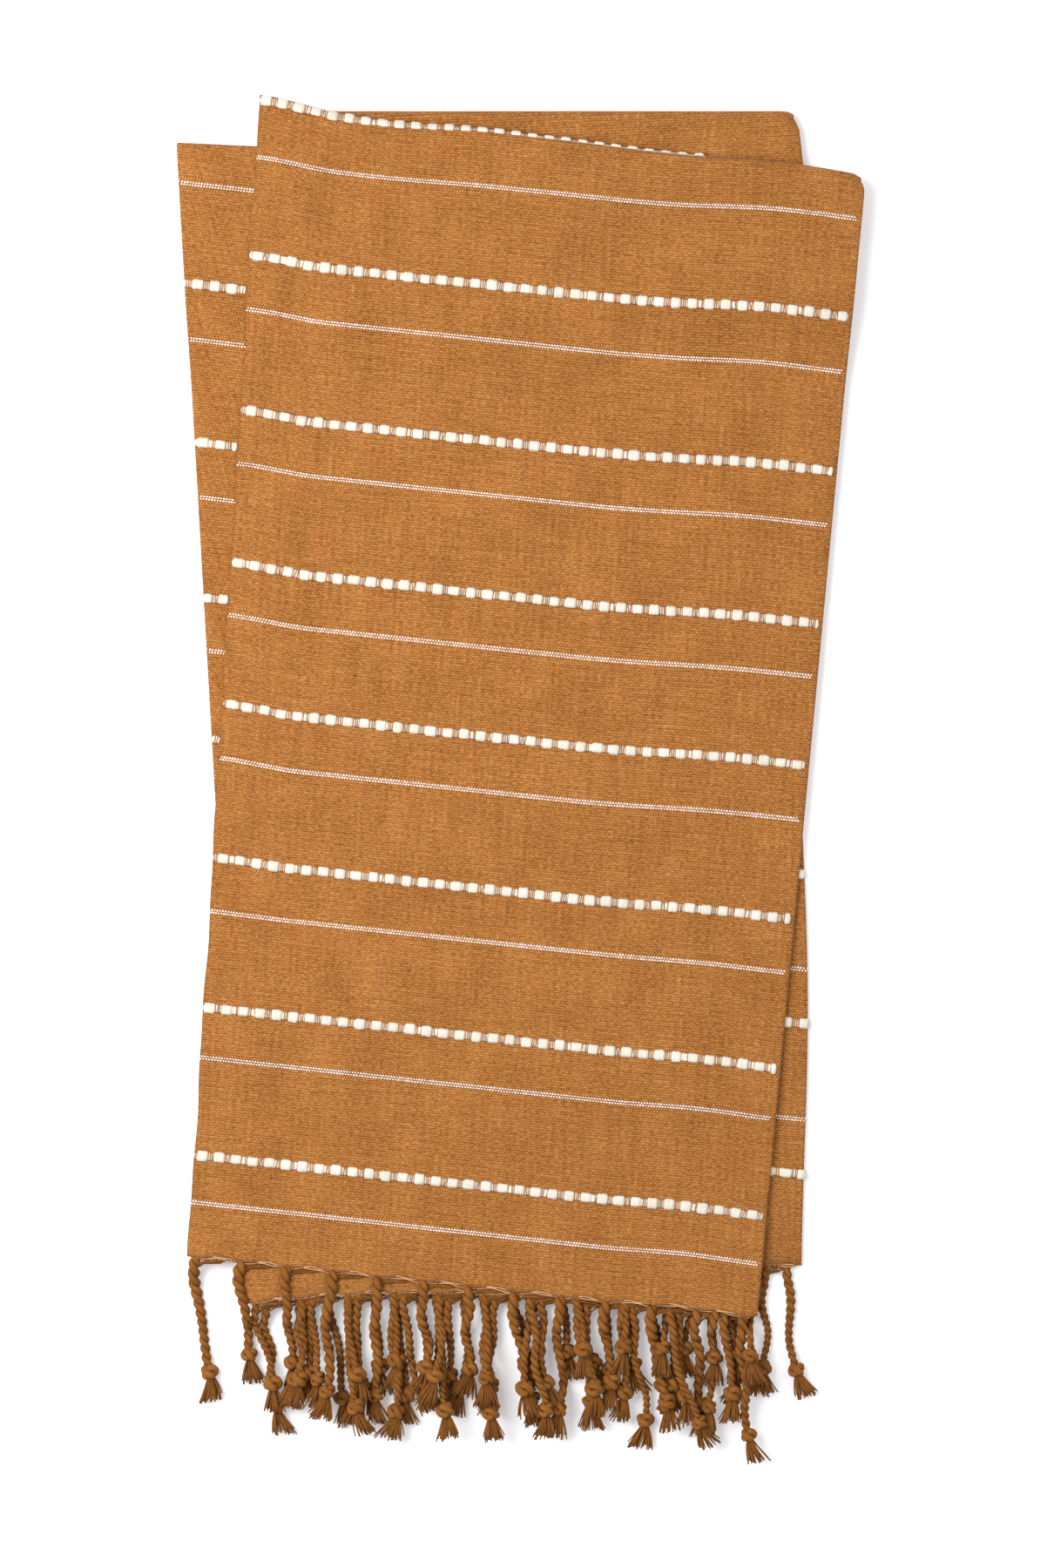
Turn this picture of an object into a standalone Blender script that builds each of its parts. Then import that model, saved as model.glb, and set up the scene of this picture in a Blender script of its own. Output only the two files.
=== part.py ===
"""A fringed throw, folded in thirds along its length and once across, with a tuck under the top fold.

Metres, +Z up. The throw lies on z = 0. The fold across is towards +Y and both fringed ends are towards -Y.
The cloth runs from the upper hem to the top fold, back under itself as far as the tuck, up to the lower
top fold, and down to the lower hem. Its three thirds are called centre, inner and outer: the inner third
is folded over the centre one from the left, and the outer third over both from the right.
"""

import math
import random

import bmesh
import bpy
import numpy as np

MM = 0.001

# Cloth
CLOTH_THICKNESS = 1.3 * MM
LAYER_GAP = 0.3 * MM        # between the three layers of a stack
FOLD_GAP = 0.4 * MM         # inside each fold across the throw
SEAT_GAP = 0.3 * MM         # between any piece and what it lies on
COVER_GAP = 0.55 * MM       # between the lower half's cords and the upper half that covers their roots

# The upper half, seen from above: a side line is (x where y = 0, lean to the right in degrees)
UPPER_WIDTH = 404 * MM
UPPER_CENTRE_X = -7 * MM
UPPER_RIGHT_LEAN = 5.4
UPPER_LEFT_LEAN = -3.3
OUTER_EDGE_INSET = 1 * MM   # the outer third's selvedge, in from the left fold
OUTER_EDGE_LEAN = 3.6
INNER_EDGE_INSET = 35 * MM  # the inner third's selvedge, in from the right fold
INNER_EDGE_LEAN = 2.0
TOP_Y = 444 * MM            # the top fold where x = 0
HALF_LENGTH = 793 * MM      # from the top fold to the upper hem
UPPER_TOP_SLOPES = {"outer": -7.6, "centre": -2.9, "inner": -2.9}
UPPER_HEM_SLOPES = {"outer": -6.2, "centre": -1.5, "inner": -0.9}

# The lower half
LOWER_WIDTH = 362 * MM
LOWER_CENTRE_X = 9 * MM
LOWER_RIGHT_LEAN = -0.2
LOWER_LEFT_LEAN = 0.9
LOWER_OUTER_EDGE_INSET = 16 * MM
LOWER_OUTER_EDGE_LEAN = 0.7
LOWER_INNER_EDGE_INSET = 12 * MM
LOWER_TOP_RISE = 14 * MM    # the lower top fold stands out this far past the upper one, where x = 0
LOWER_HEM_RISE = 11 * MM    # the lower hem ends this far short of the upper one, where x = 0
LOWER_TOP_SLOPE = 0.0
LOWER_HEM_SLOPES = {"outer": 1.8, "centre": 1.5, "inner": 1.5}
LOWER_INNER_HEM_SHORT = 8 * MM

# The tuck between the two top folds
TUCK_DEPTH = 94 * MM        # below the upper top fold
TUCK_SHARE = 0.3            # how far its ends stand from the lower side lines towards the upper ones
RAMP_LENGTH = 68 * MM       # over which the upper half comes down from the tuck
RAMP_CLEARANCE = 8 * MM     # between the ramp and the tuck's end

# The rise near the upper hem, over the cords of the lower half
HEM_RAMP_LENGTH = 32 * MM
HEM_RAMP_CLEARANCE = 7 * MM # between the end of the rise and the lower hem

# Ivory weft rows, laid on the outer third
ROW_COUNT = 7
FIRST_ROW_DROP = 106 * MM   # from the outer third's top left corner
LAST_ROW_RISE = 69.8 * MM   # from its hem's left corner
ROW_SLOPE = -6.1
ROW_END_INSET = 1.5 * MM
ROW_HALF_WIDTH = 3.3 * MM
ROW_HALF_HEIGHT = 1.0 * MM
ROW_STATIONS = 22

# Hem stitch threads
STITCH_INSET = 4 * MM
STITCH_HALF_WIDTH = 0.8 * MM
STITCH_HALF_HEIGHT = 0.4 * MM
STITCH_STATIONS = 13

# Tassels
GATHER_PITCH = 31.5 * MM    # between tassels along a hem
TASSEL_LENGTHS = (72 * MM, 100 * MM)
CORD_ROOT_RADIUS = 3.0 * MM
CORD_END_RADIUS = 2.2 * MM
ROOT_HALF_WIDTH = 4.0 * MM
ROOT_LENGTH = 8 * MM
KNOT_RADIUS = 5.0 * MM
KNOT_HALF_LENGTH = 5.5 * MM
NECK_RADIUS = 2.8 * MM
BRUSH_LENGTH = 15 * MM
BRUSH_HALF_WIDTH = 6.2 * MM
BRUSH_HALF_HEIGHT = 2.6 * MM
TASSEL_LEAN = 4.0           # mean, in degrees, towards +X
TASSEL_LEAN_SPREAD = 6.0
TASSEL_CURL = 7.0           # most change of heading over the length, in degrees
LEAN_LENGTH = 24 * MM       # over which a cord turns from the hem's own direction to its lean
DROP_LENGTH = 34 * MM       # over which a cord comes down from its hem
TASSEL_SEED = 5
ROUTE_STEP = 2 * MM
CLEAR_WINDOW = 4            # route steps each side that a cord keeps its height over a crossing

CORD_RINGS = 6
FIRST_TASSELS = {           # distance from the right fold, in pitches
    "lower_outer": 0.25,
    "lower_centre": 0.75,
    "upper_centre": 0.65,
    "upper_outer": 0.25,
}

ARC_STEPS = 6
RING_SIDES = 6
SHARP_ANGLE = math.radians(50)

STACK = 3 * CLOTH_THICKNESS + 2 * LAYER_GAP
UPPER_REST = STACK + FOLD_GAP                                               # underside of the upper half
HEM_REST = STACK - CLOTH_THICKNESS / 2 + CORD_ROOT_RADIUS + COVER_GAP       # and at its hem, over the cords


def tan(degrees):
    return math.tan(math.radians(degrees))


def side_x(side, y):
    x, lean = side
    return x + y * tan(lean)


def meet(side, point, slope):
    """Where a side line meets the line through a point at a slope."""
    x, lean = side
    along = tan(slope)
    y = (point[1] + (x - point[0]) * along) / (1 - tan(lean) * along)
    return np.array([side_x(side, y), y])


def upper_sides():
    left = UPPER_CENTRE_X - UPPER_WIDTH / 2
    right = left + UPPER_WIDTH
    return {
        "right": (right, UPPER_RIGHT_LEAN),
        "left": (left, UPPER_LEFT_LEAN),
        "outer": (left + OUTER_EDGE_INSET, OUTER_EDGE_LEAN),
        "inner": (right - INNER_EDGE_INSET, INNER_EDGE_LEAN),
    }


def lower_sides():
    left = LOWER_CENTRE_X - LOWER_WIDTH / 2
    right = left + LOWER_WIDTH
    return {
        "right": (right, LOWER_RIGHT_LEAN),
        "left": (left, LOWER_LEFT_LEAN),
        "outer": (left + LOWER_OUTER_EDGE_INSET, LOWER_OUTER_EDGE_LEAN),
        "inner": (right - LOWER_INNER_EDGE_INSET, LOWER_RIGHT_LEAN),
    }


def line_across(sides, y, slopes):
    """One line across the folded cloth: the left and right end of each third, which share the folds' corners.

    The outer third's line passes x = 0 at y, the centre one starts at its right corner, and the inner one
    at the centre one's left corner.
    """
    start = (0.0, y)
    right = meet(sides["right"], start, slopes["outer"])
    left = meet(sides["left"], right, slopes["centre"])
    return {
        "outer": (meet(sides["outer"], start, slopes["outer"]), right),
        "centre": (left, right),
        "inner": (left, meet(sides["inner"], left, slopes["inner"])),
    }


def level_line(sides, y):
    return line_across(sides, y, dict.fromkeys(("outer", "centre", "inner"), 0.0))


def tuck_line():
    y = TOP_Y - TUCK_DEPTH
    upper, lower = level_line(upper_sides(), y), level_line(lower_sides(), y)
    return {
        third: tuple(low + TUCK_SHARE * (high - low) for high, low in zip(upper[third], lower[third]))
        for third in upper
    }


def lower_hem_line():
    """The inner third's hem lies a little short of the other two."""
    hem = line_across(lower_sides(), TOP_Y - HALF_LENGTH + LOWER_HEM_RISE, LOWER_HEM_SLOPES)
    left, right = hem["inner"]
    hem["inner"] = (left, right + np.array([0.0, LOWER_INNER_HEM_SHORT]))
    return hem


UPPER_TOP = line_across(upper_sides(), TOP_Y, UPPER_TOP_SLOPES)
UPPER_HEM = line_across(upper_sides(), TOP_Y - HALF_LENGTH, UPPER_HEM_SLOPES)
LOWER_TOP = line_across(lower_sides(), TOP_Y + LOWER_TOP_RISE, dict.fromkeys(UPPER_TOP, LOWER_TOP_SLOPE))
LOWER_HEM = lower_hem_line()
RAMP_TOP_Y = TOP_Y - TUCK_DEPTH - STACK - RAMP_CLEARANCE
RAMP_FOOT_Y = RAMP_TOP_Y - RAMP_LENGTH
HEM_RAMP_TOP_Y = max(end[1] for ends in LOWER_HEM.values() for end in ends) + HEM_RAMP_CLEARANCE
HEM_RAMP_FOOT_Y = HEM_RAMP_TOP_Y + HEM_RAMP_LENGTH


def upper_underside(y):
    """Height of the upper half's underside: on the tuck at the top fold, on the lower half, on the cords."""
    ys = (HEM_RAMP_TOP_Y, HEM_RAMP_FOOT_Y, RAMP_FOOT_Y, RAMP_TOP_Y)
    return float(np.interp(y, ys, (HEM_REST, UPPER_REST, UPPER_REST, 3 * STACK + 3 * FOLD_GAP)))


def stations_along():
    """Lines across the cloth from the upper hem to the lower hem.

    Each is (line, z, dz, out, dout): a point h into the stack lies at z + dz h, and out + dout h past the line
    in +Y. The folds across are half circles about centres one stack apart.
    """
    r = FOLD_GAP / 2
    found = [(UPPER_HEM, HEM_REST, 1.0, 0.0, 0.0)]
    for y in (HEM_RAMP_TOP_Y, HEM_RAMP_FOOT_Y, RAMP_FOOT_Y, RAMP_TOP_Y):
        found.append((level_line(upper_sides(), y), upper_underside(y), 1.0, 0.0, 0.0))
    angles = [math.pi * step / ARC_STEPS for step in range(ARC_STEPS + 1)]
    folds = (
        (UPPER_TOP, 3 * STACK + 5 * r, r, 1.0),
        (tuck_line(), 2 * STACK + 3 * r, r + STACK, -1.0),
        (LOWER_TOP, STACK + r, r, 1.0),
    )
    for line, centre, radius, sign in folds:
        for angle in angles:
            up, out = math.cos(angle), math.sin(angle)
            found.append((line, centre + radius * up, sign * up, sign * radius * out, out))
    found.append((LOWER_HEM, STACK, -1.0, 0.0, 0.0))
    return found


def turn(third, right_side, centre, radius, downwards):
    """Points of the cloth where it turns over a side fold: (third, share across, sideways, height)."""
    share, sign = (1.0, 1.0) if right_side else (0.0, -1.0)
    start = math.pi / 2 if downwards else -math.pi / 2
    points = []
    for step in range(ARC_STEPS + 1):
        angle = start - math.copysign(math.pi * step / ARC_STEPS, start)
        points.append((third, share, sign * radius * math.cos(angle), centre + radius * math.sin(angle)))
    return points


def cloth_sides():
    """The cloth's section as two matching rows of points: its outside, then its inside."""
    t, g = CLOTH_THICKNESS, LAYER_GAP
    left, right = t + g / 2, STACK / 2
    outside = [("inner", 1.0, 0.0, 2 * t + g)]
    outside += turn("centre", False, left, left, True) + turn("centre", True, right, right, False)
    outside += [("outer", 0.0, 0.0, STACK)]
    inside = [("inner", 1.0, 0.0, t + g)]
    inside += turn("centre", False, left, g / 2, True) + turn("centre", True, right, right - t, False)
    inside += [("outer", 0.0, 0.0, STACK - t)]
    return outside, inside


def place(section, station):
    line, z, dz, out, dout = station
    points = []
    for third, share, sideways, height in section:
        left, right = line[third]
        x, y = left + share * (right - left)
        points.append((x + sideways, y + out + dout * height, z + dz * height))
    return points


def mesh_object(name, verts, faces, material):
    mesh = bpy.data.meshes.new(name)
    mesh.from_pydata([tuple(point) for point in verts], [], faces)
    shell = bmesh.new()
    shell.from_mesh(mesh)
    bmesh.ops.triangulate(shell, faces=shell.faces[:])
    bmesh.ops.recalc_face_normals(shell, faces=shell.faces[:])
    shell.to_mesh(mesh)
    shell.free()
    mesh.shade_smooth()
    mesh.set_sharp_from_angle(angle=SHARP_ANGLE)
    mesh.materials.append(material)
    bpy.context.scene.collection.objects.link(bpy.data.objects.new(name, mesh))


def tube_mesh(rings):
    """A closed tube through rings of equal size: side quads and a cap at each end."""
    sides, count = len(rings[0]), len(rings)
    verts = [point for ring in rings for point in ring]
    faces = [tuple(range(sides)), tuple(range((count - 1) * sides, count * sides))]
    for row in range(count - 1):
        for k in range(sides):
            a, b = row * sides + k, row * sides + (k + 1) % sides
            faces.append((a, b, b + sides, a + sides))
    return verts, faces


def ring(centre, heading, half_width, half_height):
    """An oval ring across a heading, which is in degrees from -Y towards +X."""
    turned = math.radians(heading)
    across = np.array([math.cos(turned), math.sin(turned), 0.0])
    up = np.array([0.0, 0.0, 1.0])
    angles = [2 * math.pi * (k + 0.5) / RING_SIDES for k in range(RING_SIDES)]
    return [centre + half_width * math.cos(a) * across + half_height * math.sin(a) * up for a in angles]


def build_cloth(material):
    outside, inside = cloth_sides()
    loop = outside + inside[::-1]
    stations = stations_along()
    verts = [point for station in stations for point in place(loop, station)]
    size, half = len(loop), len(outside)
    faces = []
    for row in range(len(stations) - 1):
        for k in range(size):
            a, b = row * size + k, row * size + (k + 1) % size
            faces.append((a, b, b + size, a + size))
    for start in (0, (len(stations) - 1) * size):
        for k in range(half - 1):
            mirror = size - 1 - k
            faces.append((start + k, start + k + 1, start + mirror - 1, start + mirror))
    mesh_object("woven_cloth", verts, faces, material)


def build_strand(name, start, end, height, half_width, half_height, stations, material):
    """A flat strand laid along a line on the cloth, whose top is at height(y)."""
    slope = math.degrees(math.atan2(end[1] - start[1], end[0] - start[0]))
    rings = []
    for step in range(stations):
        x, y = start + (end - start) * step / (stations - 1)
        centre = np.array([x, y, height(y) + SEAT_GAP + half_height])
        rings.append(ring(centre, 90.0 + slope, half_width, half_height))
    mesh_object(name, *tube_mesh(rings), material)


def outer_top(y):
    """Height of the outer third's upper face."""
    return upper_underside(y) + STACK


def build_rows(material):
    sides = upper_sides()
    first_y = UPPER_TOP["outer"][0][1] - FIRST_ROW_DROP
    last_y = UPPER_HEM["outer"][0][1] + LAST_ROW_RISE
    for number in range(ROW_COUNT):
        y = first_y + (last_y - first_y) * number / (ROW_COUNT - 1)
        left = np.array([side_x(sides["outer"], y), y])
        right = meet(sides["right"], left, ROW_SLOPE)
        along = (right - left) / np.linalg.norm(right - left)
        build_strand(f"bobble_weft_row_{number + 1}", left + ROW_END_INSET * along, right - ROW_END_INSET * along,
                     outer_top, ROW_HALF_WIDTH, ROW_HALF_HEIGHT, ROW_STATIONS, material)


def build_stitches(material):
    inset = np.array([0.0, STITCH_INSET])
    hems = {
        "hem_stitch_upper_end": (UPPER_HEM["outer"], outer_top),
        "hem_stitch_lower_end": (LOWER_HEM["centre"], lambda y: STACK),
    }
    for name, (hem, height) in hems.items():
        along = (hem[1] - hem[0]) / np.linalg.norm(hem[1] - hem[0])
        build_strand(name, hem[0] + inset + ROW_END_INSET * along, hem[1] + inset - ROW_END_INSET * along,
                     height, STITCH_HALF_WIDTH, STITCH_HALF_HEIGHT, STITCH_STATIONS, material)


def tassel_section(s, length):
    """Half width and half height of a tassel at s from its root."""
    knot = length - BRUSH_LENGTH - KNOT_HALF_LENGTH
    cord = CORD_ROOT_RADIUS + (CORD_END_RADIUS - CORD_ROOT_RADIUS) * min(s / knot, 1.0)
    if s < ROOT_LENGTH:
        share = s / ROOT_LENGTH
        flat = CLOTH_THICKNESS / 2
        return ROOT_HALF_WIDTH + share * (cord - ROOT_HALF_WIDTH), flat + share * (cord - flat)
    if s <= length - BRUSH_LENGTH:
        reach = max(0.0, 1.0 - ((s - knot) / KNOT_HALF_LENGTH) ** 2)
        floor = cord if s < knot else NECK_RADIUS
        radius = max(floor, KNOT_RADIUS * math.sqrt(reach))
        return radius, radius
    share = (s - length + BRUSH_LENGTH) / BRUSH_LENGTH
    return (NECK_RADIUS + share * (BRUSH_HALF_WIDTH - NECK_RADIUS),
            NECK_RADIUS + share * (BRUSH_HALF_HEIGHT - NECK_RADIUS))


def tassel_route(root, hem_slope, lean, curl, length):
    """Plan points and headings from the root: the heading turns from the hem's own to the lean, then curls."""
    count = int(round(length / ROUTE_STEP)) + 1
    s = np.linspace(0.0, length, count)
    share = np.clip(s / LEAN_LENGTH, 0.0, 1.0)
    eased = share * share * (3 - 2 * share)
    heading = hem_slope + (lean - hem_slope) * eased + curl * (s / length) ** 2
    steps = np.radians((heading[1:] + heading[:-1]) / 2)
    ds = s[1] - s[0]
    x = root[0] + np.concatenate([[0.0], np.cumsum(np.sin(steps))]) * ds
    y = root[1] - np.concatenate([[0.0], np.cumsum(np.cos(steps))]) * ds
    return s, x, y, heading


def cloth_below(x, y, layers):
    """Height of the highest of the given layers that reaches under each point."""
    top = np.zeros_like(x)
    for (left, right), z in layers:
        edge = left[1] + (right[1] - left[1]) * (x - left[0]) / (right[0] - left[0])
        under = (y > edge - KNOT_RADIUS) & (x > left[0] - KNOT_RADIUS) & (x < right[0] + KNOT_RADIUS)
        top = np.where(under, np.maximum(top, z), top)
    return top


def settle(x, y, width, height, root_z, s, layers, laid):
    """Heights of a tassel laid on the cloth and the tassels under it, coming down from its root."""
    need = np.maximum(SEAT_GAP, cloth_below(x, y, layers) + SEAT_GAP) + height
    for other_x, other_y, other_z, other_width, other_height in laid:
        reach = width[:, None] + other_width[None, :] + SEAT_GAP
        apart = np.hypot(x[:, None] - other_x[None, :], y[:, None] - other_y[None, :]) / reach
        rise = (height[:, None] + other_height[None, :] + SEAT_GAP) * np.sqrt(np.clip(1 - apart**2, 0, None))
        need = np.maximum(need, np.where(apart < 1, other_z[None, :] + rise, 0.0).max(axis=1))
    padded = np.pad(need, CLEAR_WINDOW, mode="edge")
    need = np.max([padded[k:k + len(need)] for k in range(2 * CLEAR_WINDOW + 1)], axis=0)
    share = np.clip(s / DROP_LENGTH, 0.0, 1.0)
    fall = root_z * (1 - share * share * (3 - 2 * share))
    return np.where(s > 0, np.maximum(need, fall), root_z)


def tassel_groups():
    """Where tassels hang: hem, height of the roots, and the layers of cloth under them as (hem, top face)."""
    half = CLOTH_THICKNESS / 2
    inner_top = HEM_REST + 2 * CLOTH_THICKNESS + LAYER_GAP
    return {
        "lower_outer": (LOWER_HEM["outer"], half, ()),
        "lower_centre": (LOWER_HEM["centre"], STACK - half, ()),
        "upper_centre": (UPPER_HEM["centre"], HEM_REST + half, ()),
        "upper_outer": (UPPER_HEM["outer"], HEM_REST + STACK - half, ((UPPER_HEM["centre"], inner_top),)),
    }


def build_tassels(material):
    chance = random.Random(TASSEL_SEED)
    laid = []
    for group, ((left, right), root_z, layers) in tassel_groups().items():
        hem_slope = math.degrees(math.atan2(right[1] - left[1], right[0] - left[0]))
        hem_length = np.linalg.norm(right - left)
        along = (right - left) / hem_length
        first = FIRST_TASSELS[group] * GATHER_PITCH
        for number in range(int((hem_length - first - ROOT_HALF_WIDTH) / GATHER_PITCH) + 1):
            root = right - along * (first + number * GATHER_PITCH) - np.array([0.0, SEAT_GAP])
            length = chance.uniform(*TASSEL_LENGTHS)
            lean = chance.gauss(TASSEL_LEAN, TASSEL_LEAN_SPREAD)
            curl = chance.uniform(-TASSEL_CURL, TASSEL_CURL)
            s, x, y, heading = tassel_route(root, hem_slope, lean, curl, length)
            section = np.array([tassel_section(value, length) for value in s])
            z = settle(x, y, section[:, 0], section[:, 1], root_z, s, layers, laid)
            laid.append((x, y, z, section[:, 0], section[:, 1]))
            knot = length - BRUSH_LENGTH - KNOT_HALF_LENGTH
            cord_end = knot - KNOT_HALF_LENGTH
            cuts = [0.0, ROOT_LENGTH / 2, *np.linspace(ROOT_LENGTH, cord_end, CORD_RINGS)]
            cuts += [knot - KNOT_HALF_LENGTH / 2, knot, knot + KNOT_HALF_LENGTH / 2]
            cuts += [length - BRUSH_LENGTH, length - BRUSH_LENGTH / 2, length]
            rings = []
            for cut in cuts:
                centre = np.array([np.interp(cut, s, values) for values in (x, y, z)])
                rings.append(ring(centre, np.interp(cut, s, heading), *tassel_section(cut, length)))
            mesh_object(f"tassel_{group}_{number + 1:02d}", *tube_mesh(rings), material)


def make_material(name, colour, roughness):
    material = bpy.data.materials.new(name)
    material.use_nodes = True
    shader = material.node_tree.nodes["Principled BSDF"]
    shader.inputs["Base Color"].default_value = (*colour, 1.0)
    shader.inputs["Roughness"].default_value = roughness
    shader.inputs["Metallic"].default_value = 0.0
    return material


def centre_on_origin():
    """Moves every mesh so that the middle of the whole footprint is at the origin."""
    points = [vert.co for obj in bpy.data.objects for vert in obj.data.vertices]
    middle = [(min(p[k] for p in points) + max(p[k] for p in points)) / 2 for k in range(2)]
    for mesh in {obj.data for obj in bpy.data.objects}:
        for vert in mesh.vertices:
            vert.co.x -= middle[0]
            vert.co.y -= middle[1]


def main():
    for obj in list(bpy.data.objects):
        bpy.data.objects.remove(obj)
    build_cloth(make_material("ochre_weave", (0.47, 0.19, 0.04), 0.9))
    build_rows(make_material("ivory_yarn", (0.80, 0.74, 0.64), 0.95))
    build_stitches(make_material("peach_thread", (0.70, 0.42, 0.20), 0.9))
    build_tassels(make_material("tassel_yarn", (0.33, 0.13, 0.03), 0.9))
    centre_on_origin()


main()
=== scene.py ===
import math
import random

import bpy
import numpy as np
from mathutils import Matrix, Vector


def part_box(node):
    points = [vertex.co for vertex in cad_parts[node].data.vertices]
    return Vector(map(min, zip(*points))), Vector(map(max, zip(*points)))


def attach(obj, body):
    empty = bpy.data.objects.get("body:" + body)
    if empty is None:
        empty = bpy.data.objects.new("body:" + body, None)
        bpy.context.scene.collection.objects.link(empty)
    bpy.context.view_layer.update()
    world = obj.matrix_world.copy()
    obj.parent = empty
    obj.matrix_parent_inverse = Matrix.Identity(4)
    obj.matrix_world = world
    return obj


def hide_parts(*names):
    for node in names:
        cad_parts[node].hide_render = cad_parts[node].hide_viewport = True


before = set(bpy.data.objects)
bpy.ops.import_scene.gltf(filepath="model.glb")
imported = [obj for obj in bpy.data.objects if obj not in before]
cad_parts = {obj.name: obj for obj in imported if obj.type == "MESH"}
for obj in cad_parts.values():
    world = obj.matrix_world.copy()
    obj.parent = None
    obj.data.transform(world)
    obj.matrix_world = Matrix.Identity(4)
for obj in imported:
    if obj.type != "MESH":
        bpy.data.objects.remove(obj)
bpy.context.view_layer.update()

# A folded throw with knotted fringe. Lengths are in millimetres until makePiece, angles in degrees.
mm = 0.001

cloth = {
    "thickness": 1.3,
    "layerGap": 0.3,
    "foldGap": 0.4,
    "seatGap": 0.3,
    "tuckDepth": 94,        # from the upper top fold down to the tuck under it
    "tuckShare": 0.3,
    "rampLength": 68,
    "rampClearance": 8,
    "hemRampLength": 32,
    "hemRampClearance": 7,
    "coverGap": 0.55,
    "cornerRadius": 8.0,    # arcs that round the folded corners, in plan
}
upperHalf = {
    "width": 404, "centreX": -7, "rightLean": 5.4, "leftLean": -3.3,
    "outerInset": 1, "outerLean": 3.6, "innerInset": 35, "innerLean": 2.0,
    "topY": 444, "length": 793,
    "topSlopes": (-7.6, -2.9, -2.9), "hemSlopes": (-6.2, -1.5, -0.9),   # outer, centre and inner third
}
lowerHalf = {
    "width": 362, "centreX": 9, "rightLean": -0.2, "leftLean": 0.9,
    "outerInset": 16, "outerLean": 0.7, "innerInset": 12, "innerLean": -0.2,
    "topRise": 14, "hemRise": 11, "innerHemShort": 8,
    "topSlopes": (0.0, 0.0, 0.0), "hemSlopes": (1.8, 1.5, 1.5),
}
tassel = {
    "pitch": 31.5, "lengths": (72, 100), "rootRadius": 3.0, "endRadius": 2.2,
    "rootHalfWidth": 4.0, "rootLength": 8, "knotRadius": 5.0, "knotHalfLength": 5.5, "neckRadius": 2.8,
    "brushLength": 15, "brushHalfWidth": 6.2, "brushHalfHeight": 2.6,
    "lean": 4.0, "leanSpread": 6.0, "curl": 7.0, "leanLength": 24, "dropLength": 34,
    "seed": 5, "innerSeed": 11, "step": 2, "clearWindow": 4,
    "first": {"lower_outer": 0.25, "lower_centre": 0.75, "upper_centre": 0.65, "upper_outer": 0.25,
              "lower_inner": 0.5, "upper_inner": 0.45},
}
outer, centre, inner = 0, 1, 2      # the thirds of the cloth, across
stack = 3 * cloth["thickness"] + 2 * cloth["layerGap"]
upperRest = stack + cloth["foldGap"]
hemRest = stack - cloth["thickness"] / 2 + tassel["rootRadius"] + cloth["coverGap"]
topRest = 3 * (stack + cloth["foldGap"])


def tanOf(angle):
    return math.tan(math.radians(angle))


def smooth(start, end, value):
    share = np.clip((value - start) / (end - start), 0.0, 1.0)
    return share * share * (3 - 2 * share)


def circle(count):      # angles round a ring
    return 2 * math.pi * np.arange(count) / count


def unit(vectors):
    return vectors / np.linalg.norm(vectors, axis=-1, keepdims=True)


def bump(value, middle, halfWidth):     # a smooth hill, 1 in the middle and 0 past its half width
    return smooth(halfWidth, 0.0, np.abs(value - middle))


# Where the cloth lies.

def meet(side, point, slope):
    x, lean = side
    along = tanOf(slope)
    y = (point[1] + (x - point[0]) * along) / (1 - tanOf(lean) * along)
    return np.array([x + y * tanOf(lean), y])


def lineAcross(half, y, slopes):        # ends of the outer, centre and inner third on one line across
    leftX = half["centreX"] - half["width"] / 2
    rightX = leftX + half["width"]
    start = (0.0, y)
    foldRight = meet((rightX, half["rightLean"]), start, slopes[outer])
    foldLeft = meet((leftX, half["leftLean"]), foldRight, slopes[centre])
    return np.array([
        [meet((leftX + half["outerInset"], half["outerLean"]), start, slopes[outer]), foldRight],
        [foldLeft, foldRight],
        [foldLeft, meet((rightX - half["innerInset"], half["innerLean"]), foldLeft, slopes[inner])],
    ])


tuckY = upperHalf["topY"] - cloth["tuckDepth"]
upperTop = lineAcross(upperHalf, upperHalf["topY"], upperHalf["topSlopes"])
upperHem = lineAcross(upperHalf, upperHalf["topY"] - upperHalf["length"], upperHalf["hemSlopes"])
lowerTop = lineAcross(lowerHalf, upperHalf["topY"] + lowerHalf["topRise"], lowerHalf["topSlopes"])
lowerHem = lineAcross(lowerHalf, upperHalf["topY"] - upperHalf["length"] + lowerHalf["hemRise"],
                      lowerHalf["hemSlopes"])
lowerHem[inner, 1, 1] += lowerHalf["innerHemShort"]
level = (0.0, 0.0, 0.0)
tuckLine = lineAcross(lowerHalf, tuckY, level)
tuckLine = tuckLine + cloth["tuckShare"] * (lineAcross(upperHalf, tuckY, level) - tuckLine)
rampTopY = tuckY - stack - cloth["rampClearance"]
hemRampTopY = lowerHem[:, :, 1].max() + cloth["hemRampClearance"]


def underside(y):       # height of the upper half's lower face, on the cords, the lower half and the tuck
    nearHem = (hemRest - upperRest) * smooth(hemRampTopY + cloth["hemRampLength"], hemRampTopY, y)
    nearTop = (topRest - upperRest) * smooth(rampTopY - cloth["rampLength"], rampTopY, y)
    return upperRest + nearHem + nearTop


sheetGrid = {
    "hemRows": 9, "hemShare": 0.03, "upperRows": 132, "foldRows": 9, "hiddenRows": 8, "wedgeRows": 12,
    "lowerRows": 72, "outerColumns": 74, "rightTurn": 9, "centreColumns": 30, "leftTurn": 7,
    "innerColumns": 38,
}


def flatRun(start, end, shares, z, dz):
    lines = start + np.asarray(shares)[:, None, None, None] * (end - start)
    count = len(shares)
    return lines, np.full(count, z), np.full(count, dz), np.zeros(count), np.zeros(count)


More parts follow.
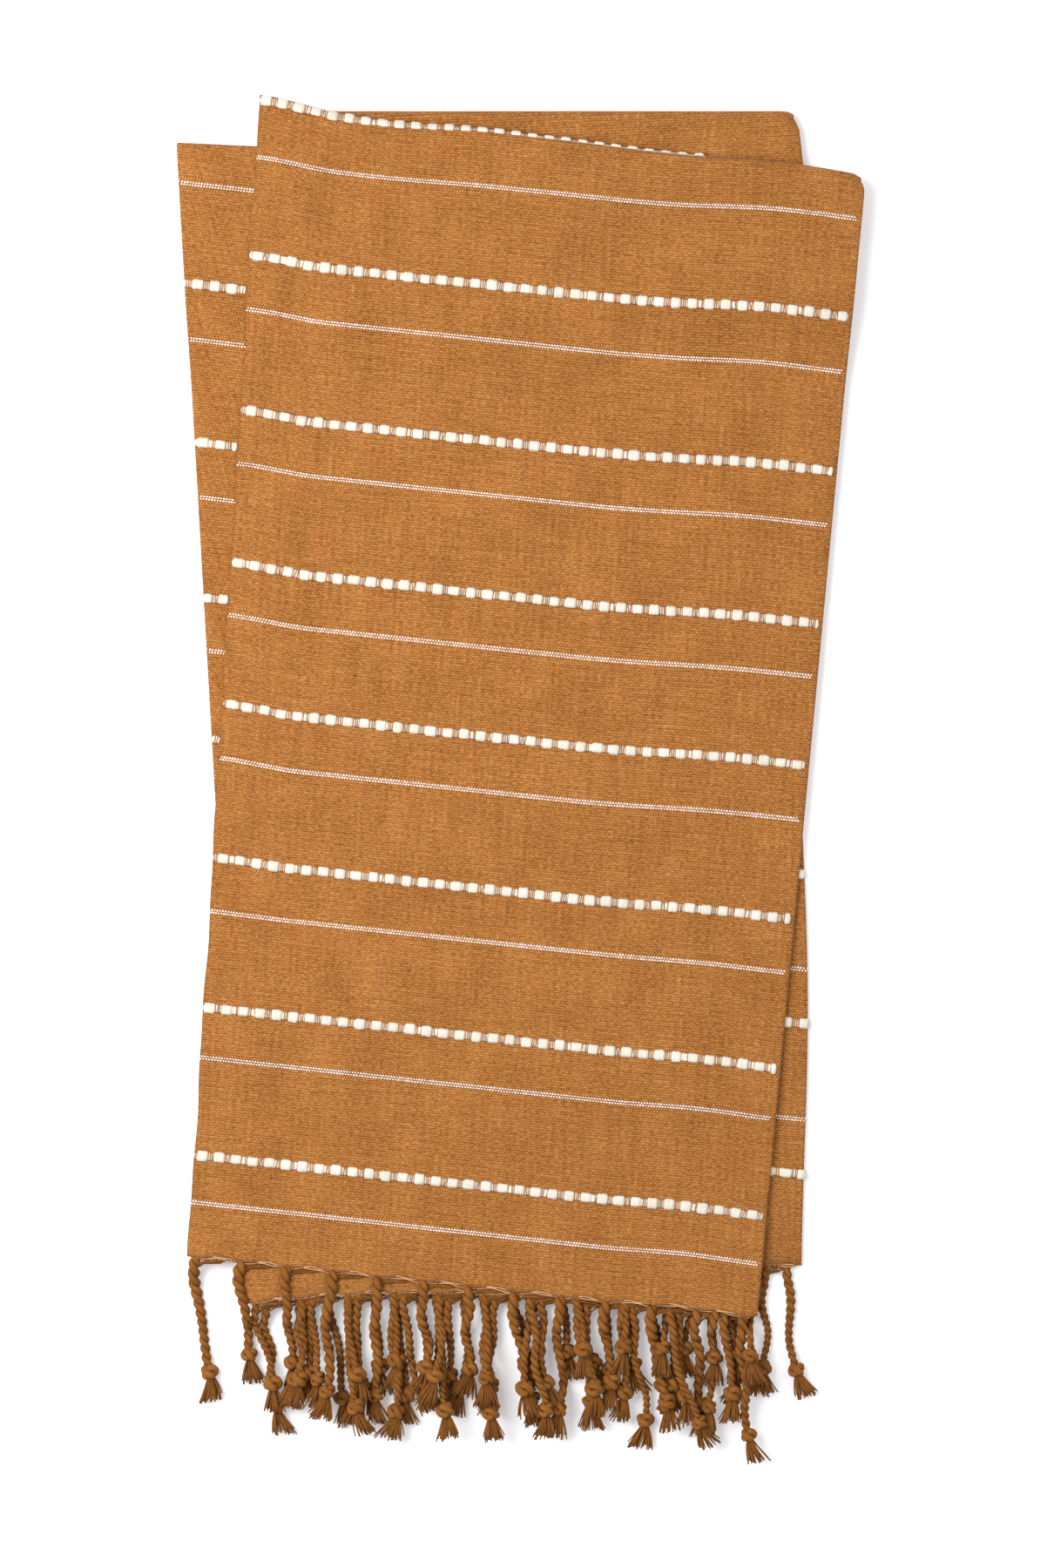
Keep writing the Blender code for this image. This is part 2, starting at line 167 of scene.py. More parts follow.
def foldRun(line, middle, radius, sign):    # a half circle about a centre line, from upper run to lower
    angles = np.linspace(0.0, math.pi, sheetGrid["foldRows"])
    up, out = np.cos(angles), np.sin(angles)
    lines = np.repeat(line[None], len(angles), axis=0)
    return lines, middle + radius * up, sign * up, sign * radius * out, out


def rowsAlong():        # every line across the cloth from the upper hem to the lower hem
    grid, gap = sheetGrid, cloth["foldGap"] / 2
    near = np.linspace(0.0, grid["hemShare"], grid["hemRows"], endpoint=False)
    rest = np.linspace(grid["hemShare"], 1.0, grid["upperRows"], endpoint=False)
    runs = [
        flatRun(upperHem, upperTop, np.concatenate([near, rest]), 0.0, 1.0),
        foldRun(upperTop, 3 * stack + 5 * gap, gap, 1.0),
        flatRun(upperTop, tuckLine, np.linspace(0, 1, grid["hiddenRows"] + 2)[1:-1],
                3 * stack + 4 * gap, -1.0),
        foldRun(tuckLine, 2 * stack + 3 * gap, gap + stack, -1.0),
        flatRun(tuckLine, lowerTop, np.linspace(0, 1, grid["wedgeRows"] + 2)[1:-1], stack + 2 * gap, 1.0),
        foldRun(lowerTop, stack + gap, gap, 1.0),
        flatRun(lowerTop, lowerHem, np.linspace(0, 1, grid["lowerRows"] + 1)[1:], stack, -1.0),
    ]
    counts = [len(run[1]) for run in runs]
    return [np.concatenate(parts) for parts in zip(*runs)], np.cumsum([0] + counts)


def turnColumns(share, side, middle, radius, start, steps):
    angles = np.linspace(start, -start, steps + 2)[1:-1]
    return share + 0 * angles, side * radius * np.cos(angles), middle + radius * np.sin(angles)


def columnsAcross(face):    # third, share, sideways and height from the outer selvedge to the inner one
    grid, t, g = sheetGrid, cloth["thickness"], cloth["layerGap"]
    depth = 0.0 if face == "outside" else t
    half = math.pi / 2
    outerShare = np.linspace(0.0, 1.0, grid["outerColumns"])
    centreShare = np.linspace(1.0, 0.0, grid["centreColumns"])
    innerShare = np.linspace(0.0, 1.0, grid["innerColumns"])
    parts = [
        (outer, outerShare, 0 * outerShare, stack - depth + 0 * outerShare),
        (centre, *turnColumns(1.0, 1.0, stack / 2, stack / 2 - depth, half, grid["rightTurn"])),
        (centre, centreShare, 0 * centreShare, depth + 0 * centreShare),
        (centre, *turnColumns(0.0, -1.0, t + g / 2, t + g / 2 - depth, -half, grid["leftTurn"])),
        (inner, innerShare, 0 * innerShare, 2 * t + g - depth + 0 * innerShare),
    ]
    thirds = np.concatenate([np.full(len(part[1]), part[0]) for part in parts])
    counts = [len(part[1]) for part in parts]
    share, sideways, height = (np.concatenate([part[k] for part in parts]) for k in (1, 2, 3))
    return (thirds, share, sideways, height), np.cumsum([0] + counts)


def placeFace(face, rows, isUpper):
    lines, z, dz, out, dout = rows
    thirds, share, sideways, height = columnsAcross(face)[0]
    ends = lines[:, thirds]
    flat = ends[:, :, 0] + share[None, :, None] * (ends[:, :, 1] - ends[:, :, 0])
    x = flat[:, :, 0] + sideways
    y = flat[:, :, 1] + out[:, None] + dout[:, None] * height
    base = np.where(isUpper[:, None], underside(flat[:, :, 1]), z[:, None])
    return np.stack([x, y, base + dz[:, None] * height], axis=2)


# The cloth's own coordinates: u across from the outer selvedge, v down from the top fold.

weave = {
    "rightDrop": 42.5,          # the stripes come down this far from the outer selvedge to the right fold
    "leftDrop": (15.5, 24.5),   # and lie this much lower at the left fold, at the top and further down
    "innerSlope": 6.5,
    "lowerRow": (190.5, -61.8, -722.4), # a point of the lower half in plan, and its v
    "lowerSlopes": (1.5, 6.0, 3.0),
}


def clothCoordinates(middle, rows, marks, columns):
    thirds, share = columns[0], columns[1]
    lines = rows[0]
    x, y = lines[..., 0], lines[..., 1]             # rows x thirds x ends
    cornerY = upperTop[outer, 0, 1]
    leftDrop = np.interp(cornerY - y[:, centre, 0], (0.0, 320.0), weave["leftDrop"])
    vOuter = cornerY - y[:, outer, 0]
    vRight = cornerY - y[:, outer, 1] - weave["rightDrop"]
    vLeft = cornerY - y[:, centre, 0] - leftDrop
    innerRun = x[:, inner, 1] - x[:, inner, 0]
    vInner = cornerY - y[:, inner, 1] - leftDrop - tanOf(weave["innerSlope"]) * innerRun
    pairs = ((vOuter, vRight), (vLeft, vRight), (vLeft, vInner))
    ends = np.stack([np.stack(pair, 1) for pair in pairs], 1)
    picked = ends[:, thirds]
    v = picked[:, :, 0] + share * (picked[:, :, 1] - picked[:, :, 0])
    rowX, rowY, rowV = weave["lowerRow"]
    slopes = np.array([tanOf(weave["lowerSlopes"][third]) for third in (outer, centre, inner)])
    vLow = rowV + (middle[:, :, 1] - rowY) + slopes[thirds] * (middle[:, :, 0] - rowX)
    first, last = marks[1] - 1, marks[6]            # last flat row of the upper half, first of the lower
    stepLengths = np.linalg.norm(np.diff(middle[first:last + 1], axis=0), axis=2)
    travelled = np.concatenate([np.zeros((1, stepLengths.shape[1])), np.cumsum(stepLengths, axis=0)])
    wanted = v[first] - vLow[last]                  # v that the folded stretch has to cover
    hidden = v[first] - travelled * (wanted / travelled[-1])
    v[first:last + 1] = hidden
    v[last:] = vLow[last:]
    across = np.linalg.norm(np.diff(middle[:, :, :2], axis=1), axis=2)
    bulge = np.abs(np.diff(middle[:, :, 2], axis=1))
    u = np.concatenate([np.zeros((len(middle), 1)), np.cumsum(np.hypot(across, bulge), axis=1)], axis=1)
    return u, v


sag = {
    "depth": 3.6,           # how far the stripes hang below a straight line over the middle of the front
    "cornerLift": 3.8,      # how much more they do beside the top left corner
    "rightRise": 1.5,
    "hemRightRise": 1.6,
    "stripeLength": 722,
}


def sagOf(share, v):        # how far the weft hangs towards the hem, by its place across and along
    t = v / sag["stripeLength"]
    middle = sag["depth"] * smooth(0.84, 0.62, t) * smooth(0.0, 0.14, share) * smooth(0.9, 0.6, share)
    corner = sag["cornerLift"] * np.exp(-np.maximum(t, 0) / 0.06) * bump(share, 0.2, 0.2)
    rise = sag["rightRise"] * smooth(0.5, 0.1, t) + sag["hemRightRise"] * smooth(0.66, 0.9, t)
    return middle + corner - rise * bump(share, 0.87, 0.16)


wrinkles = {
    # middle x, middle y, direction, half length, half width, height
    "ridges": (
        (-150, 395, -52, 60, 11, 1.6),
        (-178, 352, -72, 70, 8, 1.5),
        (-160, 330, -80, 60, 9, 0.9),
        (-120, 372, -38, 55, 14, 1.1),
        (-186, 240, -76, 70, 8, 1.4),
        (-160, 205, -64, 75, 12, 1.1),
        (-40, 388, -30, 90, 20, 0.9),
        (100, 330, 64, 120, 16, 0.9),
        (-196, 60, -74, 80, 10, 0.8),
        (60, 60, 80, 150, 26, 0.7),
        (-90, -140, 72, 120, 24, 0.7),
        (110, -200, 78, 110, 20, 0.8),
        (-190, -230, -80, 70, 12, 0.8),
    ),
    "waves": ((173, 24, 0.45), (118, -38, 0.4), (83, 71, 0.32), (61, -8, 0.26), (47, 108, 0.16)),
    "seed": 3,
}


def wrinkleHeight(x, y):    # long low ridges, each a hill across and along its own line, over slow waves
    phases = np.random.default_rng(wrinkles["seed"]).uniform(0, 2 * math.pi, len(wrinkles["waves"]))
    height = np.zeros_like(x)
    for (length, angle, rise), phase in zip(wrinkles["waves"], phases):
        turned = math.radians(angle)
        along = x * math.cos(turned) + y * math.sin(turned)
        height += rise * (1 + np.sin(2 * math.pi * along / length + phase + 0.8 * np.sin(y / 90 + phase)))
    for midX, midY, angle, halfLength, halfWidth, rise in wrinkles["ridges"]:
        turned = math.radians(angle)
        along = (x - midX) * math.cos(turned) + (y - midY) * math.sin(turned)
        across = -(x - midX) * math.sin(turned) + (y - midY) * math.cos(turned)
        height += rise * np.exp(-(across / halfWidth) ** 2 - (along / halfLength) ** 4)
    return height


hem = {
    "scallop": 1.7,         # how far the edge draws back between two gathers
    "pucker": 0.7,          # how far it stands up at each gather
    "puckerReach": 11,
    "selvedgeWave": 0.5,
    "bow": (5.0, -150, 200),    # how far the lower half's folds bulge out, about which y, over what reach
    "drawnUp": 10.0,        # how far the two hidden hems of the upper half are drawn up in their middle
    "drawnReach": 60,
}


def drawnUp(share):
    return hem["drawnUp"] * np.sin(math.pi * np.clip(share, 0, 1) ** 0.8)


def gatherPhase(distance, first):       # 0 at each gather, half way between two gathers 0.5
    return np.abs((distance / tassel["pitch"] - first + 0.5) % 1.0 - 0.5)


def hemShape(face, marks, columns):     # draws the hems into their gathers
    thirds, share = columns[0], columns[1]
    halves = ((slice(0, marks[1]), upperHem, "upper"), (slice(marks[6], None), lowerHem, "lower"))
    for rowSpan, line, half in halves:
        ends = line[thirds]
        length = np.linalg.norm(ends[:, 1] - ends[:, 0], axis=1)
        names = np.array([tassel["first"][f"{half}_{third}"] for third in ("outer", "centre", "inner")])
        phase = gatherPhase((1 - share) * length, names[thirds])
        hemY = ends[:, 0, 1] + share * (ends[:, 1, 1] - ends[:, 0, 1])
        if half == "upper":
            hemY = hemY + np.where(thirds == outer, 0.0, drawnUp(share))
        away = np.maximum(face[rowSpan, :, 1] - hemY, 0.0)
        near = np.exp(-(away / hem["puckerReach"]) ** 2)
        face[rowSpan, :, 1] += hem["scallop"] * near * (1 - np.cos(2 * math.pi * phase)) / 2
        stand = hem["pucker"] * near * (1 + np.cos(2 * math.pi * phase)) / 2
        face[rowSpan, :, 2] += stand * (0.4 + 0.6 * near)


def roundCorner(face, rowSpan, corner, side):
    # in plan, the offset q from the arc's centre, in radii, becomes q max(q) / |q|
    radius = cloth["cornerRadius"]
    centreX, centreY = corner[0] - side * radius, corner[1] - radius
    qx = side * (face[rowSpan, :, 0] - centreX) / radius
    qy = (face[rowSpan, :, 1] - centreY) / radius
    scale = np.where((qx > 0) & (qy > 0), np.maximum(qx, qy) / np.maximum(np.hypot(qx, qy), 1e-9), 1.0)
    face[rowSpan, :, 0] = centreX + side * radius * qx * scale
    face[rowSpan, :, 1] = centreY + radius * qy * scale


def relax(face, marks, columns, columnMarks, v, shift):     # the folded cloth as it really lies
    thirds, share = columns[0], columns[1]
    roundCorner(face, slice(0, marks[3]), upperTop[outer, 1], 1)
    roundCorner(face, slice(marks[4], None), lowerTop[outer, 1], 1)
    roundCorner(face, slice(marks[4], None), lowerTop[centre, 0], -1)
    onOuter = (np.arange(len(thirds)) < columnMarks[1]).astype(float)
    fade = np.zeros(len(face))
    fade[:marks[2]] = 1.0
    fade[marks[2]:marks[3]] = np.linspace(1.0, 0.0, marks[3] - marks[2])
    face[:, :, 1] -= sagOf(share[None], np.maximum(v, -20)) * onOuter * fade[:, None]
    hidden = (np.arange(len(thirds)) >= columnMarks[2])[None] & (np.arange(len(face)) < marks[1])[:, None]
    ends = upperHem[thirds]
    hemY = ends[:, 0, 1] + share * (ends[:, 1, 1] - ends[:, 0, 1])
    away = np.clip((face[:, :, 1] - hemY) / hem["drawnReach"], 0, 1)
    face[:, :, 1] += np.where(hidden, drawnUp(share)[None] * (1 - away) ** 2, 0.0)
    low = np.arange(len(face)) >= marks[6]
    out, bowY, reach = hem["bow"]
    bow = out * bump(face[:, :, 1], bowY, reach) * smooth(0.8, 1.0, share)[None] * (thirds != inner)[None]
    face[:, :, 0] += np.where(low[:, None], bow, 0.0)
    wave = hem["selvedgeWave"] * (np.sin(face[:, 0, 1] / 21) + 0.6 * np.sin(face[:, 0, 1] / 9.3 + 1))
    edge = smooth(0.03, 0.0, share)[None] * onOuter
    face[:, :, 0] += wave[:, None] * edge * fade[:, None]
    hemShape(face, marks, columns)
    top = topRest + stack
    lift = wrinkleHeight(face[:, :, 0], face[:, :, 1]) * np.clip(face[:, :, 2] / top, 0, 1.2)
    face[:, :, 2] += lift
    face[:, :, :2] += shift


def buildSheet():       # the whole cloth: an outside and an inside grid that join at their rims
    rows, marks = rowsAlong()
    isUpper = np.arange(len(rows[1])) < marks[1]
    columns, columnMarks = columnsAcross("outside")
    outside = placeFace("outside", rows, isUpper)
    inside = placeFace("inside", rows, isUpper)
    low, high = (np.array(corner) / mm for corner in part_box("woven_cloth"))
    shift = ((low + high) / 2 - (outside.min(axis=(0, 1)) + outside.max(axis=(0, 1))) / 2)[:2]
    u, v = clothCoordinates((outside + inside) / 2, rows, marks, columns)
    for face in (outside, inside):
        relax(face, marks, columns, columnMarks, v, shift)
    return {"outside": outside, "inside": inside, "u": u, "v": v, "marks": marks,
            "columnMarks": columnMarks, "shift": shift}


sheet = buildSheet()
print("cloth laid out:", sheet["outside"].shape[:2], "shift", sheet["shift"].round(3))


def addToCloth(piece, replaces=()):
    if replaces:
        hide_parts(*replaces)


def gridFaces(rowCount, columnCount, offset=0, wrap=False, flip=False):
    across = columnCount if wrap else columnCount - 1
    i, j = np.meshgrid(np.arange(rowCount - 1), np.arange(across), indexing="ij")
    a = offset + i * columnCount + j
    b = offset + i * columnCount + (j + 1) % columnCount
    quads = np.stack([a, b, b + columnCount, a + columnCount], axis=-1).reshape(-1, 4)
    return quads[:, ::-1] if flip else quads


def makePiece(name, points, quads, material, caps=(), uv=None, depth=None):
    mesh = bpy.data.meshes.new(name)
    faces = np.asarray(quads).tolist() + [list(cap) for cap in caps]
    mesh.from_pydata((np.asarray(points) * mm).tolist(), [], faces)
    if uv is not None:
        layer = mesh.uv_layers.new(name="clothUv")
        corners = np.empty(len(mesh.loops), dtype=np.int32)
        mesh.loops.foreach_get("vertex_index", corners)
        layer.data.foreach_set("uv", np.asarray(uv)[corners].astype(np.float32).ravel())
    # depth: how much painted shade and darker yarn tone the cord material mixes in at each point
    if depth is not None:
        attribute = mesh.attributes.new("depth", "FLOAT", "POINT")
        attribute.data.foreach_set("value", np.asarray(depth, dtype=np.float32))
    mesh.shade_smooth()
    mesh.materials.append(material)
    piece = bpy.data.objects.new(name, mesh)
    bpy.context.scene.collection.objects.link(piece)
    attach(piece, "root")
    return piece


def frames(paths, up):      # side and up vectors along each path, square to its direction
    tangent = unit(np.gradient(paths, axis=-2))
    side = unit(np.cross(tangent, up))
    return side, np.cross(side, tangent)


def sweep(paths, radii, angles, up=(0.0, 0.0, 1.0)):
    # tubes along many paths at once: point = path + radius (cos angle side + sin angle up)
    # paths: tubes x stations x 3; radii and angles: broadcast to tubes x stations x sides
    side, lift = frames(paths, np.asarray(up, dtype=float))
    radii, angles = np.broadcast_arrays(radii, angles)
    ring = radii[..., None] * (np.cos(angles)[..., None] * side[:, :, None]
                               + np.sin(angles)[..., None] * lift[:, :, None])
    points = paths[:, :, None] + ring
    tubes, stations, sides = points.shape[:3]
    one = gridFaces(stations, sides, wrap=True)
    starts = np.arange(tubes) * stations * sides
    quads = (one[None] + starts[:, None, None]).reshape(-1, 4)
    first = starts[:, None] + np.arange(sides)
    last = first + (stations - 1) * sides
    caps = [list(c) for c in first[:, ::-1]] + [list(c) for c in last]
    return points.reshape(-1, 3), quads, caps


def joinParts(parts):       # several (points, quads, caps) as one
    points, quads, caps, offset = [], [], [], 0
    for pointsOne, quadsOne, capsOne in parts:
        points.append(pointsOne)
        quads.append(np.asarray(quadsOne) + offset)
        caps += [[k + offset for k in cap] for cap in capsOne]
        offset += len(pointsOne)
    return np.concatenate(points), np.concatenate(quads), caps


# Materials.

def newMaterial(name, roughness, sheen=0.0):
    material = bpy.data.materials.new(name)
    material.use_nodes = True
    shader = material.node_tree.nodes["Principled BSDF"]
    shader.inputs["Roughness"].default_value = roughness
    shader.inputs["Sheen Weight"].default_value = sheen
    shader.inputs["Sheen Roughness"].default_value = 0.5
    shader.inputs["Specular IOR Level"].default_value = 0.25
    return material, material.node_tree, shader


def mathNode(tree, operation, first, second=None):
    node = tree.nodes.new("ShaderNodeMath")
    node.operation = operation
    for socket, value in zip(node.inputs, (first, second)):
        if value is None:
            continue
        if isinstance(value, (int, float)):
            socket.default_value = value
        else:
            tree.links.new(value, socket)
    return node.outputs[0]


def times(tree, first, second):
    return mathNode(tree, "MULTIPLY", first, second)


def plus(tree, first, second):
    return mathNode(tree, "ADD", first, second)


def rampNode(tree, value, stops):
    node = tree.nodes.new("ShaderNodeValToRGB")
    ramp = node.color_ramp
    while len(ramp.elements) < len(stops):
        ramp.elements.new(0.5)
    for element, (place, colour) in zip(ramp.elements, stops):
        element.position = place
        element.color = (*colour, 1.0)
    tree.links.new(value, node.inputs["Fac"])
    return node.outputs["Color"]


def noiseNode(tree, vector, scale, detail=2.0, roughness=0.5):
    node = tree.nodes.new("ShaderNodeTexNoise")
    node.inputs["Scale"].default_value = scale
    node.inputs["Detail"].default_value = detail
    node.inputs["Roughness"].default_value = roughness
    tree.links.new(vector, node.inputs["Vector"])
    return node.outputs["Fac"]


def scaledVector(tree, vector, scale):
    node = tree.nodes.new("ShaderNodeMapping")
    node.inputs["Scale"].default_value = scale
    tree.links.new(vector, node.inputs["Vector"])
    return node.outputs["Vector"]


def bumpNode(tree, height, strength, distance, shader):
    node = tree.nodes.new("ShaderNodeBump")
    node.inputs["Strength"].default_value = strength
    node.inputs["Distance"].default_value = distance
    tree.links.new(height, node.inputs["Height"])
    tree.links.new(node.outputs["Normal"], shader.inputs["Normal"])


weavePattern = {
    "pitchU": 1.92, "rowPitch": 1.75,   # a light spot every pitch along a row, each row shifted by half
    "dark": (0.058, 0.016, 0.002), "low": (0.185, 0.063, 0.009), "mid": (0.305, 0.111, 0.018),
    "light": (0.525, 0.25, 0.085),
    "spots": 0.17, "rows": 0.11, "ground": 0.485,
    # scale across and along, detail, roughness and weight: yarns, picks, ends and clouds
    "noises": (((0.34, 0.6), 4.0, 0.65, 1.05), ((0.03, 0.45), 2.0, 0.5, 0.28), ((0.4, 0.02), 2.0, 0.5, 0.24),
               ((0.03, 0.022), 5.0, 0.6, 0.28)),
}


def ochreWeave():       # plain weave: the product of two cosines gives yarn crossings in brick order
    p = weavePattern
    material, tree, shader = newMaterial("ochreWeave", 0.9, sheen=0.06)
    uvNode = tree.nodes.new("ShaderNodeUVMap")
    uvNode.uv_map = "clothUv"
    uv = uvNode.outputs["UV"]
    parts = tree.nodes.new("ShaderNodeSeparateXYZ")
    slow = noiseNode(tree, scaledVector(tree, uv, (0.35, 0.09, 1)), 1.0, 2.0)
    wobble = times(tree, mathNode(tree, "SUBTRACT", slow, 0.5), 0.9)
    tree.links.new(uv, parts.inputs[0])
    u, v = parts.outputs["X"], parts.outputs["Y"]
    uTurn = times(tree, plus(tree, u, wobble), 2 * math.pi / p["pitchU"])
    vTurn = times(tree, v, math.pi / p["rowPitch"])
    crossing = times(tree, mathNode(tree, "COSINE", uTurn),
                        mathNode(tree, "COSINE", vTurn))
    ribs = mathNode(tree, "COSINE", times(tree, v, 2 * math.pi / p["rowPitch"]))
    height = plus(tree, times(tree, crossing, p["spots"]),
                      times(tree, ribs, p["rows"]))
    total = plus(tree, height, p["ground"])
    for scale, detail, roughness, weight in p["noises"]:
        noise = noiseNode(tree, scaledVector(tree, uv, (*scale, 1)), 1.0, detail, roughness)
        total = plus(tree, total, times(tree, mathNode(tree, "SUBTRACT", noise, 0.5), weight))
    stops = ((0.04, p["dark"]), (0.30, p["low"]), (0.52, p["mid"]), (0.90, p["light"]))
    colour = rampNode(tree, total, stops)
    tree.links.new(colour, shader.inputs["Base Color"])
    bumpNode(tree, height, 0.7, 0.0012, shader)
    return material


def yarnMaterial(name, dark, mid, light, grain):
    # spun yarn: fine fibre noise over slow clouds, both on object coordinates in metres
    material, tree, shader = newMaterial(name, 0.9, 0.05)
    place = tree.nodes.new("ShaderNodeTexCoord").outputs["Object"]
    fibre = noiseNode(tree, place, grain, 4.0, 0.7)
    cloud = noiseNode(tree, place, grain / 14, 2.0)
    mixed = plus(tree, times(tree, fibre, 0.65),
                     times(tree, cloud, 0.35))
    colour = rampNode(tree, mixed, ((0.28, dark), (0.5, mid), (0.72, light)))
    tree.links.new(colour, shader.inputs["Base Color"])
    bumpNode(tree, fibre, 0.6, 0.0004, shader)
    return material


def cordMaterial():     # twisted cotton: the noise is stretched along the cord, as its fibres run
    material, tree, shader = newMaterial("tasselCord", 0.9, 0.02)
    shader.inputs["Specular IOR Level"].default_value = 0.15
    uvNode = tree.nodes.new("ShaderNodeUVMap")
    uvNode.uv_map = "clothUv"
    place = tree.nodes.new("ShaderNodeTexCoord").outputs["Object"]
    fibre = noiseNode(tree, scaledVector(tree, uvNode.outputs["UV"], (1.9, 0.28, 1)), 1.0, 4.0, 0.65)
    cloud = noiseNode(tree, place, 90, 2.0)
    mixed = plus(tree, times(tree, fibre, 0.7),
                     times(tree, cloud, 0.3))
    colour = rampNode(tree, mixed, ((0.28, (0.113, 0.038, 0.005)), (0.5, (0.22, 0.08, 0.013)),
                                            (0.72, (0.33, 0.134, 0.028))))
    # the depth attribute mixes in a dark colour: painted shade in the cord's grooves, inside the knots and
    # at the brush roots, and a random darker tone on some yarns
    depth = tree.nodes.new("ShaderNodeAttribute")
    depth.attribute_name = "depth"
    shade = tree.nodes.new("ShaderNodeMix")
    shade.data_type = "RGBA"
    # the painted shade colour
    shade.inputs["B"].default_value = (0.026, 0.008, 0.001, 1.0)
    tree.links.new(depth.outputs["Fac"], shade.inputs["Factor"])
    tree.links.new(colour, shade.inputs["A"])
    tree.links.new(shade.outputs["Result"], shader.inputs["Base Color"])
    bumpNode(tree, fibre, 0.7, 0.0005, shader)
    return material


clothFinish = ochreWeave()
# name, dark, middle and light colour, grain
ivoryFinish, warpFinish, dotFinish, peachFinish = (yarnMaterial(*yarn) for yarn in (
    ("ivoryBobbleYarn", (0.46, 0.41, 0.33), (0.60, 0.56, 0.48), (0.69, 0.65, 0.59), 900),
    ("ochreWarpThread", (0.22, 0.08, 0.015), (0.33, 0.13, 0.03), (0.44, 0.20, 0.06), 1500),
    ("ivoryPickYarn", (0.57, 0.53, 0.50), (0.74, 0.72, 0.71), (0.82, 0.81, 0.82), 260),
    ("peachHemThread", (0.36, 0.17, 0.06), (0.50, 0.27, 0.13), (0.62, 0.41, 0.24), 1100),
))
cordFinish = cordMaterial()
print("materials made")


# The cloth.

def buildCloth():
    outside, inside = sheet["outside"], sheet["inside"]
    rows, columns = outside.shape[:2]
    count = rows * columns
    index = np.arange(count).reshape(rows, columns)
    rim = np.concatenate([index[0, :-1], index[:-1, -1], index[-1, :0:-1], index[:0:-1, 0]])
    onward = np.roll(rim, -1)
    walls = np.stack([onward, rim, rim + count, onward + count], axis=1)
    quads = np.concatenate([gridFaces(rows, columns), gridFaces(rows, columns, count, flip=True), walls])
    points = np.concatenate([outside.reshape(-1, 3), inside.reshape(-1, 3)])
    uv = np.stack([sheet["u"].ravel(), sheet["v"].ravel()], axis=1)
    piece = makePiece("ochreWovenCloth", points, quads, clothFinish, uv=np.concatenate([uv, uv]))
    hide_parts("woven_cloth")
    return piece


throwCloth = buildCloth()
print("cloth built:", len(throwCloth.data.polygons), "faces")


# Lines of the weave.

def span(region):       # rows and columns of the outside face that show there
    marks, across = sheet["marks"], sheet["columnMarks"]
    return {
        "front": (slice(0, marks[2]), slice(0, across[2])),
        "leftStrip": (slice(0, marks[2]), slice(across[3] - 1, across[5])),
        "rightStrip": (slice(marks[6] - 1, None), slice(across[2] - sheetGrid["rightTurn"], across[3])),
    }[region]


def rowOn(region, v):       # points, outward normals and u where a line of equal v crosses each column
    rows, columns = span(region)
    points, vs, us = sheet["outside"][rows, columns], sheet["v"][rows, columns], sheet["u"][rows, columns]
    normals = unit(np.cross(np.gradient(points, axis=1), np.gradient(points, axis=0)))
    above = np.clip((vs > v).sum(axis=0), 1, len(vs) - 1)
    column = np.arange(vs.shape[1])
    start, end = vs[above - 1, column], vs[above, column]
    share = np.clip((start - v) / (start - end), 0.0, 1.0)[:, None]
    crossed = (vs.max(axis=0) > v) & (vs.min(axis=0) < v)

    def between(values):
        return values[above - 1, column] + share * (values[above, column] - values[above - 1, column])

    return between(points)[crossed], between(normals)[crossed], between(us[..., None])[:, 0][crossed]


def sampleRow(region, v, us):       # the same at chosen distances from the selvedge
    points, normals, known = rowOn(region, v)
    order = np.argsort(known)
    known = known[order]
    points = np.stack([np.interp(us, known, points[order, k]) for k in range(3)], axis=1)
    normals = np.stack([np.interp(us, known, normals[order, k]) for k in range(3)], axis=1)
    return points, unit(normals)


def reachOf(region, v):
    us = rowOn(region, v)[2]
    return us.min(), us.max()


def stripReach(region, v):      # where a line comes out on a strip, up to the edge of the front over it
    us = np.linspace(*reachOf(region, v), 400)
    points = sampleRow(region, v, us)[0]
    front = sheet["outside"][:sheet["marks"][1], :sheet["columnMarks"][1]]
    if region == "leftStrip":
        edge = front[:, 0]
        seen = points[:, 0] < np.interp(points[:, 1], edge[:, 1], edge[:, 0])
    else:
        edge = front[:, -1]
        seen = points[:, 0] > np.interp(points[:, 1], edge[:, 1], edge[:, 0])
    return (us.min(), us[seen].max()) if seen.any() else None


# Ivory bobble rows.

bobble = {
    "pitch": 11.5, "puffShare": 0.60, "puffHalfWidth": 3.5, "gapHalfWidth": 2.5, "puffHeight": 2.1,
    "gapHeight": 0.7, "sunk": 0.5, "stationStep": 0.6, "sides": 14, "seed": 21,
    "threadOffsets": (-2.0, -0.6, 0.75, 2.05), "threadRadius": 0.36, "threadOverhang": 0.7,
    "threadStations": 7,
    "overFold": 0.74,       # share of the width after which the first row lies behind the top fold
}
# how far each bobble row lies below the top fold, and each dotted line
bobbleRows = (0.9, 106.0, 211.0, 315.5, 412.5, 518.0, 621.0, 722.5)
dottedRows = (39.0, 142.8, 247.8, 351.8, 450.0, 555.0, 655.4, 754.8)
stripePeriod = 103.2
dottedBelow = 37.5      # from each bobble row to its dotted line, on the right strip


def puffShape(us, chance, first):       # 0 in a gap, 1 on a puff, and each puff's own size and shift
    phase = us / bobble["pitch"] - first
    number = np.floor(phase).astype(int)
    count = number.max() - number.min() + 1
    size = chance.uniform(0.88, 1.1, count)[number - number.min()]
    shiftBy = chance.uniform(-0.35, 0.35, count)[number - number.min()]
    long = chance.uniform(0.92, 1.08, count)[number - number.min()]
    away = np.abs(phase - number - 0.5) / (bobble["puffShare"] * long / 2)
    puff = np.clip(1 - away ** 5, 0.0, 1.0) ** 0.45
    return puff, size, shiftBy


